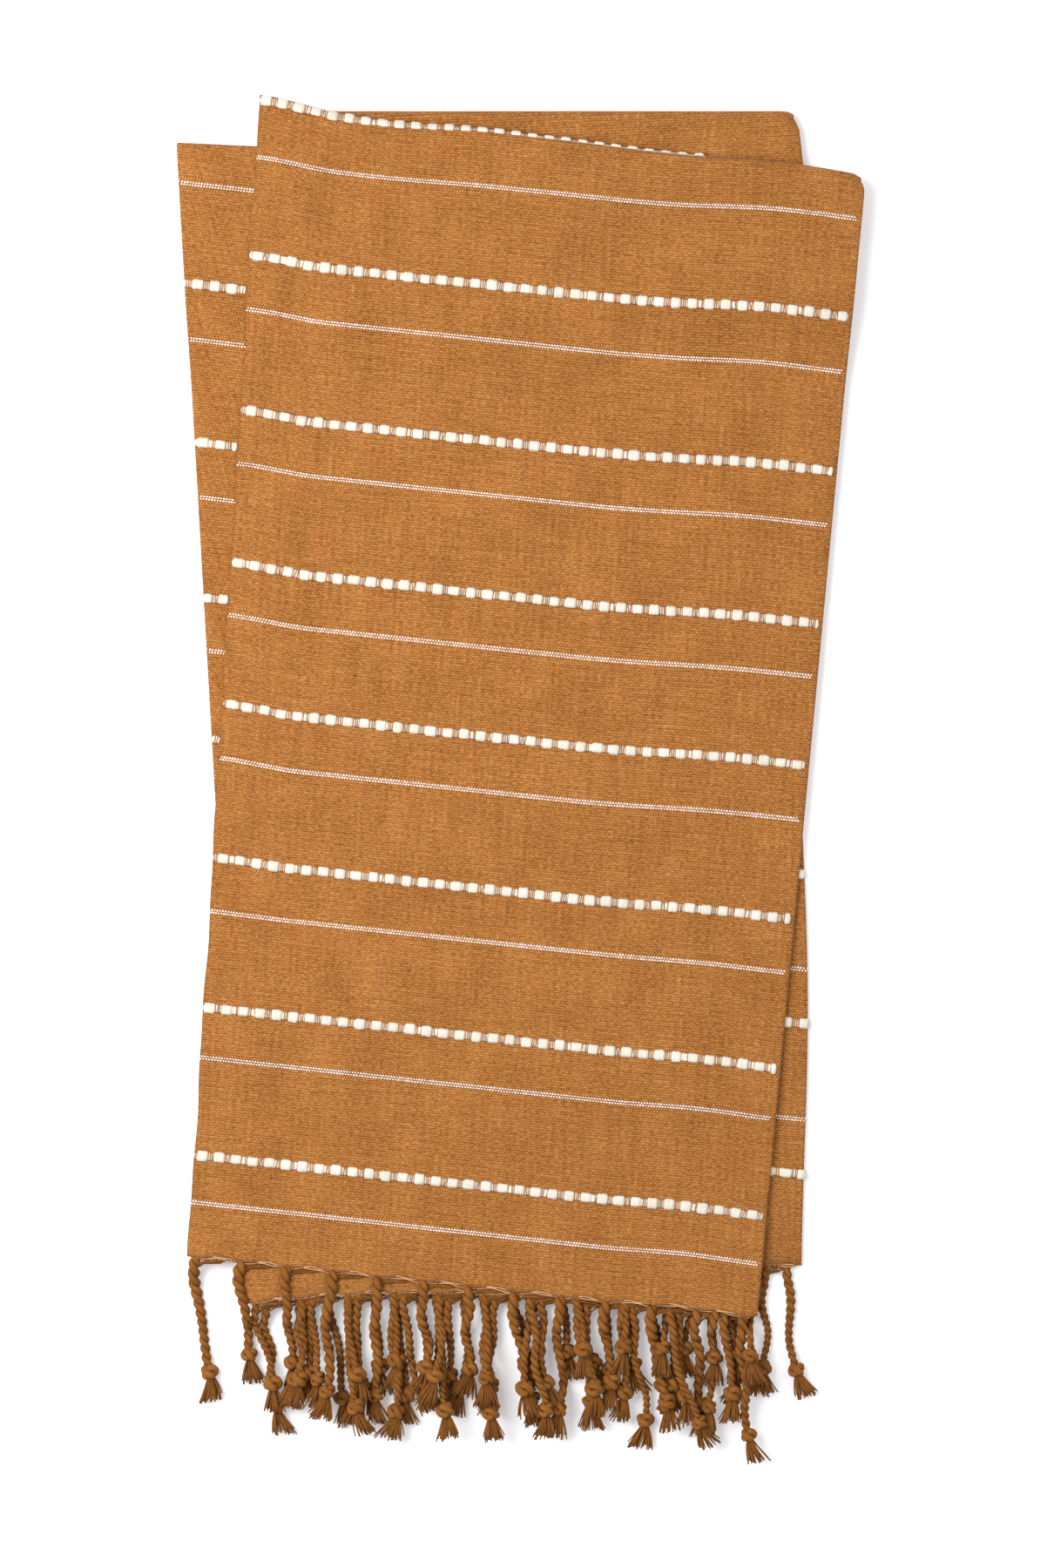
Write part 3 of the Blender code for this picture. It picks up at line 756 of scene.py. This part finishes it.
def bobbleRow(name, region, v, uSpan, first, seed, replaces=()):
    # a strand on the cloth: station u, angle a -> row(u) + width(u) cos a sideways + height(u) sin a out
    chance = np.random.default_rng(bobble["seed"] + seed)
    us = np.arange(uSpan[0], uSpan[1], bobble["stationStep"])
    points, normals = sampleRow(region, v, us)
    sideways = np.cross(normals, unit(np.gradient(points, axis=0)))
    puff, size, shiftBy = puffShape(us, chance, first)
    taper = np.clip(np.minimum(us - uSpan[0], uSpan[1] - us) / 1.2, 0.15, 1.0) ** 0.5
    thin, thick = bobble["gapHalfWidth"], bobble["puffHalfWidth"] * size
    width = (thin + (thick - thin) * puff) * taper
    low, high = bobble["gapHeight"], bobble["puffHeight"] * size
    height = (low + (high - low) * puff) * taper
    angles = circle(bobble["sides"])
    across = np.sign(np.cos(angles)) * np.abs(np.cos(angles)) ** 0.75
    up = np.where(np.sin(angles) > 0, np.abs(np.sin(angles)) ** 0.8, 0.0)
    down = np.where(np.sin(angles) < 0, -1.0, 0.0) * bobble["sunk"]
    fuzz = 1 + chance.normal(0, 0.055, (len(us), bobble["sides"]))
    middle = points + (shiftBy * puff)[:, None] * sideways
    ring = (middle[:, None] + (width[:, None] * across * fuzz)[..., None] * sideways[:, None]
            + (height[:, None] * up * fuzz + down)[..., None] * normals[:, None])
    stations, sides = ring.shape[:2]
    caps = [list(range(sides)), list(range((stations - 1) * sides, stations * sides))[::-1]]
    quads = gridFaces(stations, sides, wrap=True, flip=True)
    piece = makePiece(name, ring.reshape(-1, 3), quads, ivoryFinish, caps=caps)
    addToCloth(piece, replaces)
    warpThreads(name, region, v, us, first, chance)


def warpThreads(name, region, v, us, first, chance):
    # short arches over each gap: across t from -1 to 1, height falls off with t to the fourth
    start, end = (u / bobble["pitch"] - first for u in (us[0], us[-1]))
    gaps = np.arange(math.ceil(start), math.floor(end) + 1)
    at = (gaps[:, None] + first) * bobble["pitch"] + np.array(bobble["threadOffsets"])
    at = at + chance.normal(0, 0.12, at.shape)
    keep = chance.uniform(0, 1, at.shape) < 0.93
    at = at[keep & (at > us[0] + 0.8) & (at < us[-1] - 0.8)]
    if not len(at):
        return
    points, normals = sampleRow(region, v, at)
    ahead = unit(sampleRow(region, v, at + 0.5)[0] - sampleRow(region, v, at - 0.5)[0])
    sideways = np.cross(normals, ahead)
    t = np.linspace(-1, 1, bobble["threadStations"])
    reach = bobble["gapHalfWidth"] + bobble["threadOverhang"]
    lean = chance.normal(0, 0.25, len(at))
    paths = (points[:, None] + (t * reach)[None, :, None] * sideways[:, None]
             + (t[None] * lean[:, None])[..., None] * ahead[:, None]
             + ((bobble["gapHeight"] + 0.35) * (1 - t ** 4) - 0.15)[None, :, None] * normals[:, None])
    angles = circle(5)
    tube = sweep(paths, bobble["threadRadius"], angles)
    addToCloth(makePiece(name + "WarpThreads", tube[0], tube[1], warpFinish, caps=tube[2]))


def buildBobbles():
    for number, v in enumerate(bobbleRows):
        replaced = (f"bobble_weft_row_{number}",) if number else ()
        low, high = reachOf("front", v)
        end = high - 5 if number else low + bobble["overFold"] * (high - low)
        first = 0.12 * (number % 3) - 0.1
        bobbleRow(f"bobbleRow{number}", "front", v, (low + 0.2, end), first, number, replaced)
    for number in (1, 2, 3, 4):
        stripRow("leftStrip", f"bobbleRowLeftFold{number}", bobbleRows[number], 1.5, 20 + number)
    for number in (6, 7, 8, 9):
        stripRow("rightStrip", f"bobbleRowRightFold{number}", -stripePeriod * number, 1.0, 30 + number)


def stripRow(region, name, v, start, seed):
    reach = stripReach(region, v)
    if reach and reach[1] - reach[0] > start + 4:
        bobbleRow(name, region, v, (reach[0] + start, reach[1] + 0.5), 0.3, seed)


buildBobbles()
print("bobble rows built")


# Dotted picks.

dotted = {
    "pitch": 1.92, "rowGap": 1.75, "halfLong": 0.74, "halfWide": 0.68, "height": 0.5, "sides": 6, "seed": 8,
    "rings": ((1.0, -0.35), (0.95, 0.35), (0.6, 0.85)),     # radius and height of each ring of a dome
}


def dottedLine(name, region, v, uSpan, seed):
    # two picks of small domes, the second half a pitch along: ring r, angle a -> (r cos a, r sin a, height)
    chance = np.random.default_rng(dotted["seed"] + seed)
    picks = []
    for side, offset in ((0.5, 0.0), (-0.5, 0.5)):
        us = np.arange(uSpan[0], uSpan[1], dotted["pitch"]) + offset * dotted["pitch"]
        us = us[us < uSpan[1]]
        points, normals = sampleRow(region, v + side * dotted["rowGap"], us)
        picks.append((points, normals, unit(np.gradient(points, axis=0))))
    points, normals, ahead = (np.concatenate(group) for group in zip(*picks))
    sideways = np.cross(normals, ahead)
    sides = dotted["sides"]
    angles = circle(sides)
    around = np.stack([np.cos(angles), np.sin(angles), 0 * angles], 1)
    template = [around * r + np.array([0.0, 0.0, h]) for r, h in dotted["rings"]]
    template = np.concatenate([*template, [[0.0, 0.0, 1.0]]])
    size = chance.uniform(0.8, 1.15, (len(points), 1, 1))
    local = template[None] * np.array([dotted["halfLong"], dotted["halfWide"], dotted["height"]]) * size
    verts = points[:, None] + (local[..., :1] * ahead[:, None] + local[..., 1:2] * sideways[:, None]
                               + local[..., 2:] * normals[:, None])
    ringCount = len(dotted["rings"])
    one = gridFaces(ringCount, sides, wrap=True)
    top = np.arange(sides) + (ringCount - 1) * sides
    tips = np.stack([top, np.roll(top, -1), np.full(sides, len(template) - 1)], axis=1)
    starts = np.arange(len(points)) * len(template)
    quads = (one[None] + starts[:, None, None]).reshape(-1, 4)
    caps = (tips[None] + starts[:, None, None]).reshape(-1, 3).tolist()
    caps += (np.arange(sides)[::-1][None] + starts[:, None]).tolist()
    addToCloth(makePiece(name, verts.reshape(-1, 3), quads, dotFinish, caps=caps))


def buildDotted():
    for number, v in enumerate(dottedRows):
        low, high = reachOf("front", v)
        dottedLine(f"dottedPicks{number + 1}", "front", v, (low + 0.6, high - 6), number)
        if number < 4:
            stripPicks("leftStrip", f"dottedPicksLeftFold{number + 1}", v, 20 + number)
    for number in (6, 7, 8, 9):
        v = dottedBelow - stripePeriod * number
        stripPicks("rightStrip", f"dottedPicksRightFold{number}", v, 30 + number)


def stripPicks(region, name, v, seed):
    reach = stripReach(region, v)
    if reach:
        dottedLine(name, region, v, (reach[0] + 1, reach[1] + 1), seed)


buildDotted()
print("dotted picks built")


# Tassels.

def tasselSection(s, length):       # half width and half height along a tassel, as its solid has them
    t = tassel
    knot = length - t["brushLength"] - t["knotHalfLength"]
    cord = t["rootRadius"] + (t["endRadius"] - t["rootRadius"]) * np.minimum(s / knot, 1.0)
    share, flat = s / t["rootLength"], cloth["thickness"] / 2
    root = (t["rootHalfWidth"] + share * (cord - t["rootHalfWidth"]), flat + share * (cord - flat))
    reach = np.maximum(0.0, 1.0 - ((s - knot) / t["knotHalfLength"]) ** 2)
    ball = np.maximum(np.where(s < knot, cord, t["neckRadius"]), t["knotRadius"] * np.sqrt(reach))
    share = (s - length + t["brushLength"]) / t["brushLength"]
    brush = (t["neckRadius"] + share * (t["brushHalfWidth"] - t["neckRadius"]),
             t["neckRadius"] + share * (t["brushHalfHeight"] - t["neckRadius"]))
    onRoot, onBall = s < t["rootLength"], s <= length - t["brushLength"]
    return tuple(np.where(onRoot, root[k], np.where(onBall, ball, brush[k])) for k in (0, 1))


def tasselRoute(root, hemSlope, lean, curl, length):
    # the heading turns from the hem's own to the lean, then curls with the square of the distance
    count = int(round(length / tassel["step"])) + 1
    s = np.linspace(0.0, length, count)
    heading = hemSlope + (lean - hemSlope) * smooth(0.0, tassel["leanLength"], s) + curl * (s / length) ** 2
    steps = np.radians((heading[1:] + heading[:-1]) / 2)
    x = root[0] + np.concatenate([[0.0], np.cumsum(np.sin(steps))]) * (s[1] - s[0])
    y = root[1] - np.concatenate([[0.0], np.cumsum(np.cos(steps))]) * (s[1] - s[0])
    return s, x, y


def clothBelow(x, y, layers):
    top = np.zeros_like(x)
    margin = tassel["knotRadius"]
    for (left, right), z in layers:
        edge = left[1] + (right[1] - left[1]) * (x - left[0]) / (right[0] - left[0])
        under = (y > edge - margin) & (x > left[0] - margin) & (x < right[0] + margin)
        top = np.where(under, np.maximum(top, z), top)
    return top


def settle(x, y, width, height, rootZ, s, layers, laid):    # heights of a tassel laid on what is under it
    gap, window = cloth["seatGap"], tassel["clearWindow"]
    need = np.maximum(gap, clothBelow(x, y, layers) + gap) + height
    for otherX, otherY, otherZ, otherWidth, otherHeight in laid:
        reach = width[:, None] + otherWidth[None, :] + gap
        apart = np.hypot(x[:, None] - otherX[None, :], y[:, None] - otherY[None, :]) / reach
        rise = (height[:, None] + otherHeight[None, :] + gap) * np.sqrt(np.clip(1 - apart ** 2, 0, None))
        need = np.maximum(need, np.where(apart < 1, otherZ[None, :] + rise, 0.0).max(axis=1))
    padded = np.pad(need, window, mode="edge")
    need = np.max([padded[k:k + len(need)] for k in range(2 * window + 1)], axis=0)
    fall = rootZ * (1 - smooth(0.0, tassel["dropLength"], s))
    return np.where(s > 0, np.maximum(need, fall), rootZ)


def tasselGroups():     # hem, height of the roots, and the layers of cloth under them
    half = cloth["thickness"] / 2
    layer = cloth["thickness"] + cloth["layerGap"]
    innerTop = hemRest + 2 * cloth["thickness"] + cloth["layerGap"]
    return {
        "lower_outer": (lowerHem[outer], half, ()),
        "lower_centre": (lowerHem[centre], stack - half, ()),
        "upper_centre": (upperHem[centre], hemRest + half, ()),
        "upper_outer": (upperHem[outer], hemRest + stack - half, ((upperHem[centre], innerTop),)),
        "lower_inner": (lowerHem[inner], layer + half, ()),
        "upper_inner": (upperHem[inner], hemRest + layer + half, ()),
    }


def tasselPlans():      # every tassel's route, in the order in which they are laid
    chance = {"solid": random.Random(tassel["seed"]), "extra": random.Random(tassel["innerSeed"])}
    laid, plans = [], []
    for group, ((left, right), rootZ, layers) in tasselGroups().items():
        draw = chance["extra" if group.endswith("inner") else "solid"]
        hemSlope = math.degrees(math.atan2(right[1] - left[1], right[0] - left[0]))
        hemLength = np.linalg.norm(right - left)
        along = (right - left) / hemLength
        first = tassel["first"][group] * tassel["pitch"]
        count = int((hemLength - first - tassel["rootHalfWidth"]) / tassel["pitch"]) + 1
        for number in range(count):
            root = right - along * (first + number * tassel["pitch"]) - np.array([0.0, cloth["seatGap"]])
            if group in ("upper_centre", "upper_inner"):
                root = root + np.array([0.0, drawnUp(1 - (first + number * tassel["pitch"]) / hemLength)])
            length = draw.uniform(*tassel["lengths"])
            lean = draw.gauss(tassel["lean"], tassel["leanSpread"])
            curl = draw.uniform(-tassel["curl"], tassel["curl"])
            s, x, y = tasselRoute(root, hemSlope, lean, curl, length)
            width, height = tasselSection(s, length)
            z = settle(x, y, width, height, rootZ, s, layers, laid)
            if not group.endswith("inner"):
                laid.append((x, y, z, width, height))
            path = np.stack([x + sheet["shift"][0], y + sheet["shift"][1], z], axis=1)
            reach = min(first + number * tassel["pitch"] - 1.5, tassel["pitch"] - gather["gap"])
            plans.append({"group": group, "number": number + 1, "s": s, "path": path, "length": length,
                          "along": along, "reach": reach})
    return plans


# shade: how dark the painted shade in the grooves between the strands is
rope = {
    "strands": 2, "sides": 16, "groove": 0.42, "turnPerRadius": 3.4, "shade": 0.75, "wander": 2.2,
    "step": 1.0, "seed": 40,
    "radii": {"upper_outer": (4.3, 3.2)}, "otherRadii": (3.5, 2.6),
}
knot = {"ringRadius": 2.85, "tubeRadius": 2.2, "wave": 1.4, "stretch": 1.9, "stations": 54, "sides": 8}
brush = {"yarns": 46, "stations": 5, "sides": 4, "radius": 0.52, "spread": (1.2, 1.65), "neck": (1.6, 1.5)}
gather = {"yarns": 9, "near": 3.0, "gap": 5.0, "width": 4.6, "stations": 9, "sides": 5, "radius": 0.6}


def smoothPath(path, times):
    for _ in range(times):
        path[1:-1] = (path[:-2] + 2 * path[1:-1] + path[2:]) / 4
    return path


def ringUv(around, along, shape):       # a uv for each point of a tube, from what broadcasts to its points
    return np.stack([np.broadcast_to(around, shape), np.broadcast_to(along, shape)], axis=-1).reshape(-1, 2)


def ropePart(s, path, knotAt, group, chance):
    # two strands: radius = a (1 - groove (1 - |cos angle|)), turning faster where the cord is thinner
    count = int(knotAt / rope["step"]) + 1
    at = np.linspace(0.0, knotAt, count)
    line = np.stack([np.interp(at, s, path[:, k]) for k in range(3)], axis=1)
    line = smoothPath(line, 6)
    line[:, 0] += (chance.uniform(0.4, rope["wander"]) * smooth(0.0, 16.0, at)
                   * np.sin(2 * math.pi * at / chance.uniform(34, 70) + chance.uniform(0, 6)))
    around = circle(rope["sides"])
    lobes = 1 - rope["groove"] * (1 - np.abs(np.cos(rope["strands"] * around / 2)))
    start, end = rope["radii"].get(group, rope["otherRadii"])
    swell = 1 + 0.04 * np.sin(at / chance.uniform(6, 11) + chance.uniform(0, 6))
    radius = (start + (end - start) * at / knotAt) * swell * chance.uniform(0.93, 1.07)
    turnRate = 2 * math.pi / (rope["turnPerRadius"] * radius)
    turn = np.cumsum(turnRate) * (at[1] - at[0]) + chance.uniform(0, 6)
    radius = radius * (0.8 + 0.2 * smooth(0.0, 4.0, at))
    part = sweep(line[None], (radius[:, None] * lobes)[None], (around + turn[:, None])[None])
    shape = (count, rope["sides"])
    uv = ringUv(around * 3.0, at[:, None], shape)
    # painted shade: the grooves between the two strands are darkened through the depth attribute
    paintedShadeAndTone = rope["shade"] * np.clip(1 - 2.2 * np.abs(np.cos(rope["strands"] * around / 2)), 0, 1)
    return part, uv, line, np.broadcast_to(paintedShadeAndTone, shape).ravel()


def knotPart(middle, tangent, size, chance):
    # a trefoil: (ring + wave cos 3t) round the cord twice, and wave sin 3t along it
    t = circle(knot["stations"])
    spin = chance.uniform(0, 2 * math.pi)
    radius = (knot["ringRadius"] + knot["wave"] * np.cos(3 * t)) * size
    local = np.stack([radius * np.cos(2 * t + spin), radius * np.sin(2 * t + spin),
                      knot["wave"] * knot["stretch"] * np.sin(3 * t) * size], axis=1)
    side = np.cross(tangent, (0.0, 0.0, 1.0))
    side /= np.linalg.norm(side)
    lift = np.cross(side, tangent)
    tilt = chance.uniform(-0.35, 0.35)
    axis = tangent * math.cos(tilt) + side * math.sin(tilt)
    side = side * math.cos(tilt) - tangent * math.sin(tilt)
    line = middle + local[:, :1] * side + local[:, 1:2] * lift + local[:, 2:] * axis
    ahead = unit(np.roll(line, -1, axis=0) - np.roll(line, 1, axis=0))
    across = unit(np.cross(ahead, line - middle))
    outward = np.cross(across, ahead)
    around = circle(knot["sides"])
    ring = (np.cos(around)[None, :, None] * across[:, None]
            + np.sin(around)[None, :, None] * outward[:, None])
    grooves = 1 + 0.07 * np.sin(2 * around[None] + 9 * t[:, None])
    points = line[:, None] + knot["tubeRadius"] * size * grooves[..., None] * ring
    stations, sides = knot["stations"], knot["sides"]
    i, j = np.meshgrid(np.arange(stations), np.arange(sides), indexing="ij")
    a, b = i * sides + j, i * sides + (j + 1) % sides
    c, d = ((i + 1) % stations) * sides + (j + 1) % sides, ((i + 1) % stations) * sides + j
    quads = np.stack([a, b, c, d], axis=-1).reshape(-1, 4)
    uv = ringUv(around * 2.0, (t * 7)[:, None], (stations, sides))
    # painted shade: the side of the tube that turns towards the knot's middle is darkened
    paintedShadeAndTone = 0.7 * smooth(0.2, 1.0, -np.sin(around))
    return (points.reshape(-1, 3), quads, []), uv, np.broadcast_to(paintedShadeAndTone, (stations, sides)).ravel()


def brushPart(start, tangent, length, chance):
    # frayed yarns: each leaves the knot close together and spreads, flat on what it lies on
    count = brush["yarns"]
    side = np.cross(tangent, (0.0, 0.0, 1.0))
    side /= np.linalg.norm(side)
    lift = np.cross(side, tangent)
    angle = chance.uniform(0, 2 * math.pi, count)
    far = np.sqrt(chance.uniform(0.02, 1, count))
    t = np.linspace(0.0, 1.0, brush["stations"])
    long = length * chance.uniform(0.78, 1.08, count)
    spread = tassel["brushHalfWidth"] * chance.uniform(*brush["spread"])
    lean = chance.uniform(-0.22, 0.22)
    bend = chance.normal(0, 0.5, (count, 2))
    across = far * np.cos(angle)
    high = far * np.sin(angle)
    neckWidth, neckHeight = brush["neck"]
    out = (neckWidth + (spread - neckWidth) * t[None] ** 0.85) * across[:, None]
    out = out + bend[:, :1] * t[None] ** 2 + lean * long[:, None] * t ** 2
    up = (neckHeight + (tassel["brushHalfHeight"] - neckHeight) * t[None]) * high[:, None]
    up = up + bend[:, 1:] * 0.4 * t[None] ** 2
    paths = start + (long[:, None] * t)[..., None] * tangent + out[..., None] * side + up[..., None] * lift
    radius = brush["radius"] * (1.15 - 0.35 * t)[None, :, None]
    angles = circle(brush["sides"])
    part = sweep(paths, radius, angles)
    shape = (count, len(t), brush["sides"])
    uv = ringUv(angles + np.arange(count)[:, None, None] * 3.7, (long[:, None] * t)[..., None], shape)
    worn = 1 - chance.uniform(0, 1, (count, 1)) ** 0.5
    # painted shade near the knot, where the yarns leave it close together, over a random darker tone for
    # some yarns
    paintedShadeAndTone = (0.4 * smooth(0.45, 0.0, t)[None] + 0.2 * worn)[..., None]
    return part, uv, np.broadcast_to(paintedShadeAndTone, shape).ravel()


def gatherPart(root, along, reach, ropeLine, chance):
    # warp ends that run back along the hem from the right of a tassel, a leaf that narrows from its root:
    # distance x from the root -> below the edge by width (1 - x / reach)^0.8 times the yarn's own rank
    count = max(3, int(gather["yarns"] * reach / (tassel["pitch"] - gather["gap"])))
    rank = (np.arange(count) + 0.5) / count
    away = gather["near"] + (reach - gather["near"]) * rank + chance.normal(0, 0.4, count)
    t = np.linspace(0.0, 1.0, gather["stations"])[None]
    x = away[:, None] * (1 - t ** 1.1)
    width = gather["width"] * np.clip(1 - x / (reach + 2), 0, 1) ** 0.8
    low = chance.permutation(rank)[:, None]
    drop = -1.2 + (width * low + 1.2) * smooth(0.0, 5.0, away[:, None] - x) + 4.0 * smooth(0.72, 1.0, t)
    lift = 0.9 * np.sin(math.pi * low) * smooth(0.0, 0.4, t) + chance.normal(0, 0.15, (count, 1))
    flat = np.array([along[0], along[1], 0.0])
    paths = root + x[..., None] * flat + np.stack([0 * x, -drop, lift + 0 * x], axis=-1)
    paths[:, -1] = paths[:, -1] * 0.3 + ropeLine[min(4, len(ropeLine) - 1)] * 0.7
    radius = gather["radius"] * (1.05 - 0.25 * np.abs(t - 0.4))[..., None]
    angles = circle(gather["sides"])
    part = sweep(paths, radius, angles)
    shape = (count, gather["stations"], gather["sides"])
    uv = ringUv(angles + 2.3 * np.arange(count)[:, None, None], x[..., None], shape)
    paintedShadeAndTone = 0.45 * chance.uniform(0, 1, (count, 1, 1))
    return part, uv, np.broadcast_to(paintedShadeAndTone, shape).ravel()


def buildTassels():
    plans = tasselPlans()
    for count, plan in enumerate(plans):
        chance = np.random.default_rng(rope["seed"] + count)
        length, s, path = plan["length"], plan["s"], plan["path"]
        knotAt = length - tassel["brushLength"] - tassel["knotHalfLength"]
        cord, cordUv, line, cordPaintedShade = ropePart(s, path, knotAt, plan["group"], chance)
        tangent = line[-1] - line[-4]
        tangent[2] *= 0.4
        tangent /= np.linalg.norm(tangent)
        size = chance.uniform(0.9, 1.12)
        ball, ballUv, knotPaintedShade = knotPart(line[-1] + tangent * 1.5, tangent, size, chance)
        tailLength = tassel["brushLength"] + 1.5
        tail, tailUv, tailShadeAndTone = brushPart(line[-1] + tangent * 4.5, tangent, tailLength, chance)
        wings, wingsUv, wingsDepth = gatherPart(line[0], plan["along"], plan["reach"], line, chance)
        points, quads, caps = joinParts([cord, ball, tail, wings])
        group = plan["group"]
        name = f"tassel_{group}_{plan['number']:02d}"
        words = "".join(word.capitalize() for word in group.split("_"))
        pieceName = f"twistedTassel{words}{plan['number']:02d}"
        points[:, 2] = np.maximum(points[:, 2], 0.05)
        # depth carries the painted shade of the grooves, knots and brush roots, and a random darker tone on
        # some yarns
        piece = makePiece(pieceName, points, quads, cordFinish, caps=caps,
                          uv=np.concatenate([cordUv, ballUv, tailUv, wingsUv]),
                          depth=np.concatenate([cordPaintedShade, knotPaintedShade, tailShadeAndTone, wingsDepth]))
        addToCloth(piece, (name,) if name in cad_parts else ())
    print("tassels built:", len(plans))


buildTassels()


# Hem stitches.

stitch = {"radius": 0.4, "step": 0.8, "rise": 0.9, "sink": 1.2, "inset": -0.1, "apart": 1.1}


def hemThread(name, half, third, replaces=()):
    # two plies that come up between the gathers, nearer the right one, and dive into the cloth at each
    across = sheet["columnMarks"]
    row = sheet["outside"][0 if half == "upper" else -1]
    number, columns = {"outer": (outer, slice(0, across[1])),
                       "centre": (centre, slice(across[2], across[3])),
                       "inner": (inner, slice(across[4], across[5]))}[third]
    edge = row[columns]
    edge = edge[np.argsort(edge[:, 0])]
    line = (upperHem if half == "upper" else lowerHem)[number]
    length = np.linalg.norm(line[1] - line[0])
    at = np.arange(3.0, length - 3.0, stitch["step"])
    share = at / length
    known = (edge[:, 0] - edge[0, 0]) / (edge[-1, 0] - edge[0, 0])
    base = np.stack([np.interp(share, known, edge[:, k]) for k in range(3)], axis=1)
    leftOf = ((length - at) / tassel["pitch"] - tassel["first"][f"{half}_{third}"]) % 1.0
    up = smooth(0.12, 0.24, leftOf) * smooth(0.66, 0.52, leftOf)
    parts = []
    for ply in (-0.5, 0.5):
        path = base.copy()
        path[:, 1] += stitch["inset"] + ply * stitch["apart"] + 0.25 * np.sin(at / 2.3 + ply * 3)
        path[:, 2] += -stitch["sink"] + (stitch["rise"] + stitch["sink"]) * up
        parts.append(sweep(path[None], stitch["radius"], circle(6)))
    points, quads, caps = joinParts(parts)
    points[:, 2] = np.maximum(points[:, 2], 0.05)
    piece = makePiece(name, points, quads, peachFinish, caps=caps)
    addToCloth(piece, replaces)


hemThread("hemStitchUpperOuter", "upper", "outer", ("hem_stitch_upper_end",))
hemThread("hemStitchUpperInner", "upper", "inner")
hemThread("hemStitchLowerCentre", "lower", "centre", ("hem_stitch_lower_end",))
print("hem stitches built")


# Stage, light and camera.

stage = {
    "floor": 6.0, "floorColour": (0.8, 0.8, 0.82), "floorGlow": 0.22, "floorZ": -0.0002, "ambient": 0.66,
    "keyPower": 41.0, "keySize": 1.3, "keyFrom": (-0.95, 0.3, 1.5),
    "fillPower": 9.0, "fillSize": 1.6, "fillFrom": (1.2, 0.2, 1.6),
    "frameHeight": 1.08, "lens": 100.0, "sensor": 36.0, "aim": (2.1, 0.0),
}


def buildStage():
    half = stage["floor"] / 2
    mesh = bpy.data.meshes.new("paleFloor")
    z = stage["floorZ"]
    corners = [(-half, -half, z), (half, -half, z), (half, half, z), (-half, half, z)]
    mesh.from_pydata(corners, [], [(0, 1, 2, 3)])
    material, _, shader = newMaterial("paleFloor", 0.9)
    shader.inputs["Base Color"].default_value = (*stage["floorColour"], 1.0)
    shader.inputs["Emission Color"].default_value = (1.0, 1.0, 1.0, 1.0)
    shader.inputs["Emission Strength"].default_value = stage["floorGlow"]
    mesh.materials.append(material)
    floor = bpy.data.objects.new("paleFloor", mesh)
    bpy.context.scene.collection.objects.link(floor)


def areaLight(name, place, power, size):
    light = bpy.data.lights.new(name, "AREA")
    light.energy = power
    light.shape = "DISK"
    light.size = size
    lamp = bpy.data.objects.new(name, light)
    lamp.location = place
    direction = -np.array(place)        # towards the middle of the throw
    lamp.rotation_euler = (math.acos(-direction[2] / np.linalg.norm(direction)), 0.0,
                           math.atan2(direction[1], direction[0]) + math.pi / 2 + math.pi)
    bpy.context.scene.collection.objects.link(lamp)


def buildLight():
    world = bpy.data.worlds.new("paleWorld")
    world.use_nodes = True
    background = world.node_tree.nodes["Background"]
    background.inputs["Color"].default_value = (1.0, 1.0, 1.0, 1.0)
    background.inputs["Strength"].default_value = stage["ambient"]
    bpy.context.scene.world = world
    areaLight("keyLight", stage["keyFrom"], stage["keyPower"], stage["keySize"])
    areaLight("fillLight", stage["fillFrom"], stage["fillPower"], stage["fillSize"])
    bpy.context.scene.view_settings.view_transform = "Standard"


def buildCamera():      # straight above, with the throw's middle a little left of the frame's
    camera = bpy.data.cameras.new("overheadCamera")
    camera.lens = stage["lens"]
    camera.sensor_width = stage["sensor"]
    distance = stage["frameHeight"] * camera.lens / camera.sensor_width
    eye = bpy.data.objects.new("overheadCamera", camera)
    x, y = (aim * mm + shift * mm for aim, shift in zip(stage["aim"], sheet["shift"]))
    eye.location = (x, y, distance)
    bpy.context.scene.collection.objects.link(eye)
    bpy.context.scene.camera = eye


buildStage()
buildLight()
buildCamera()
print("stage, light and camera set")
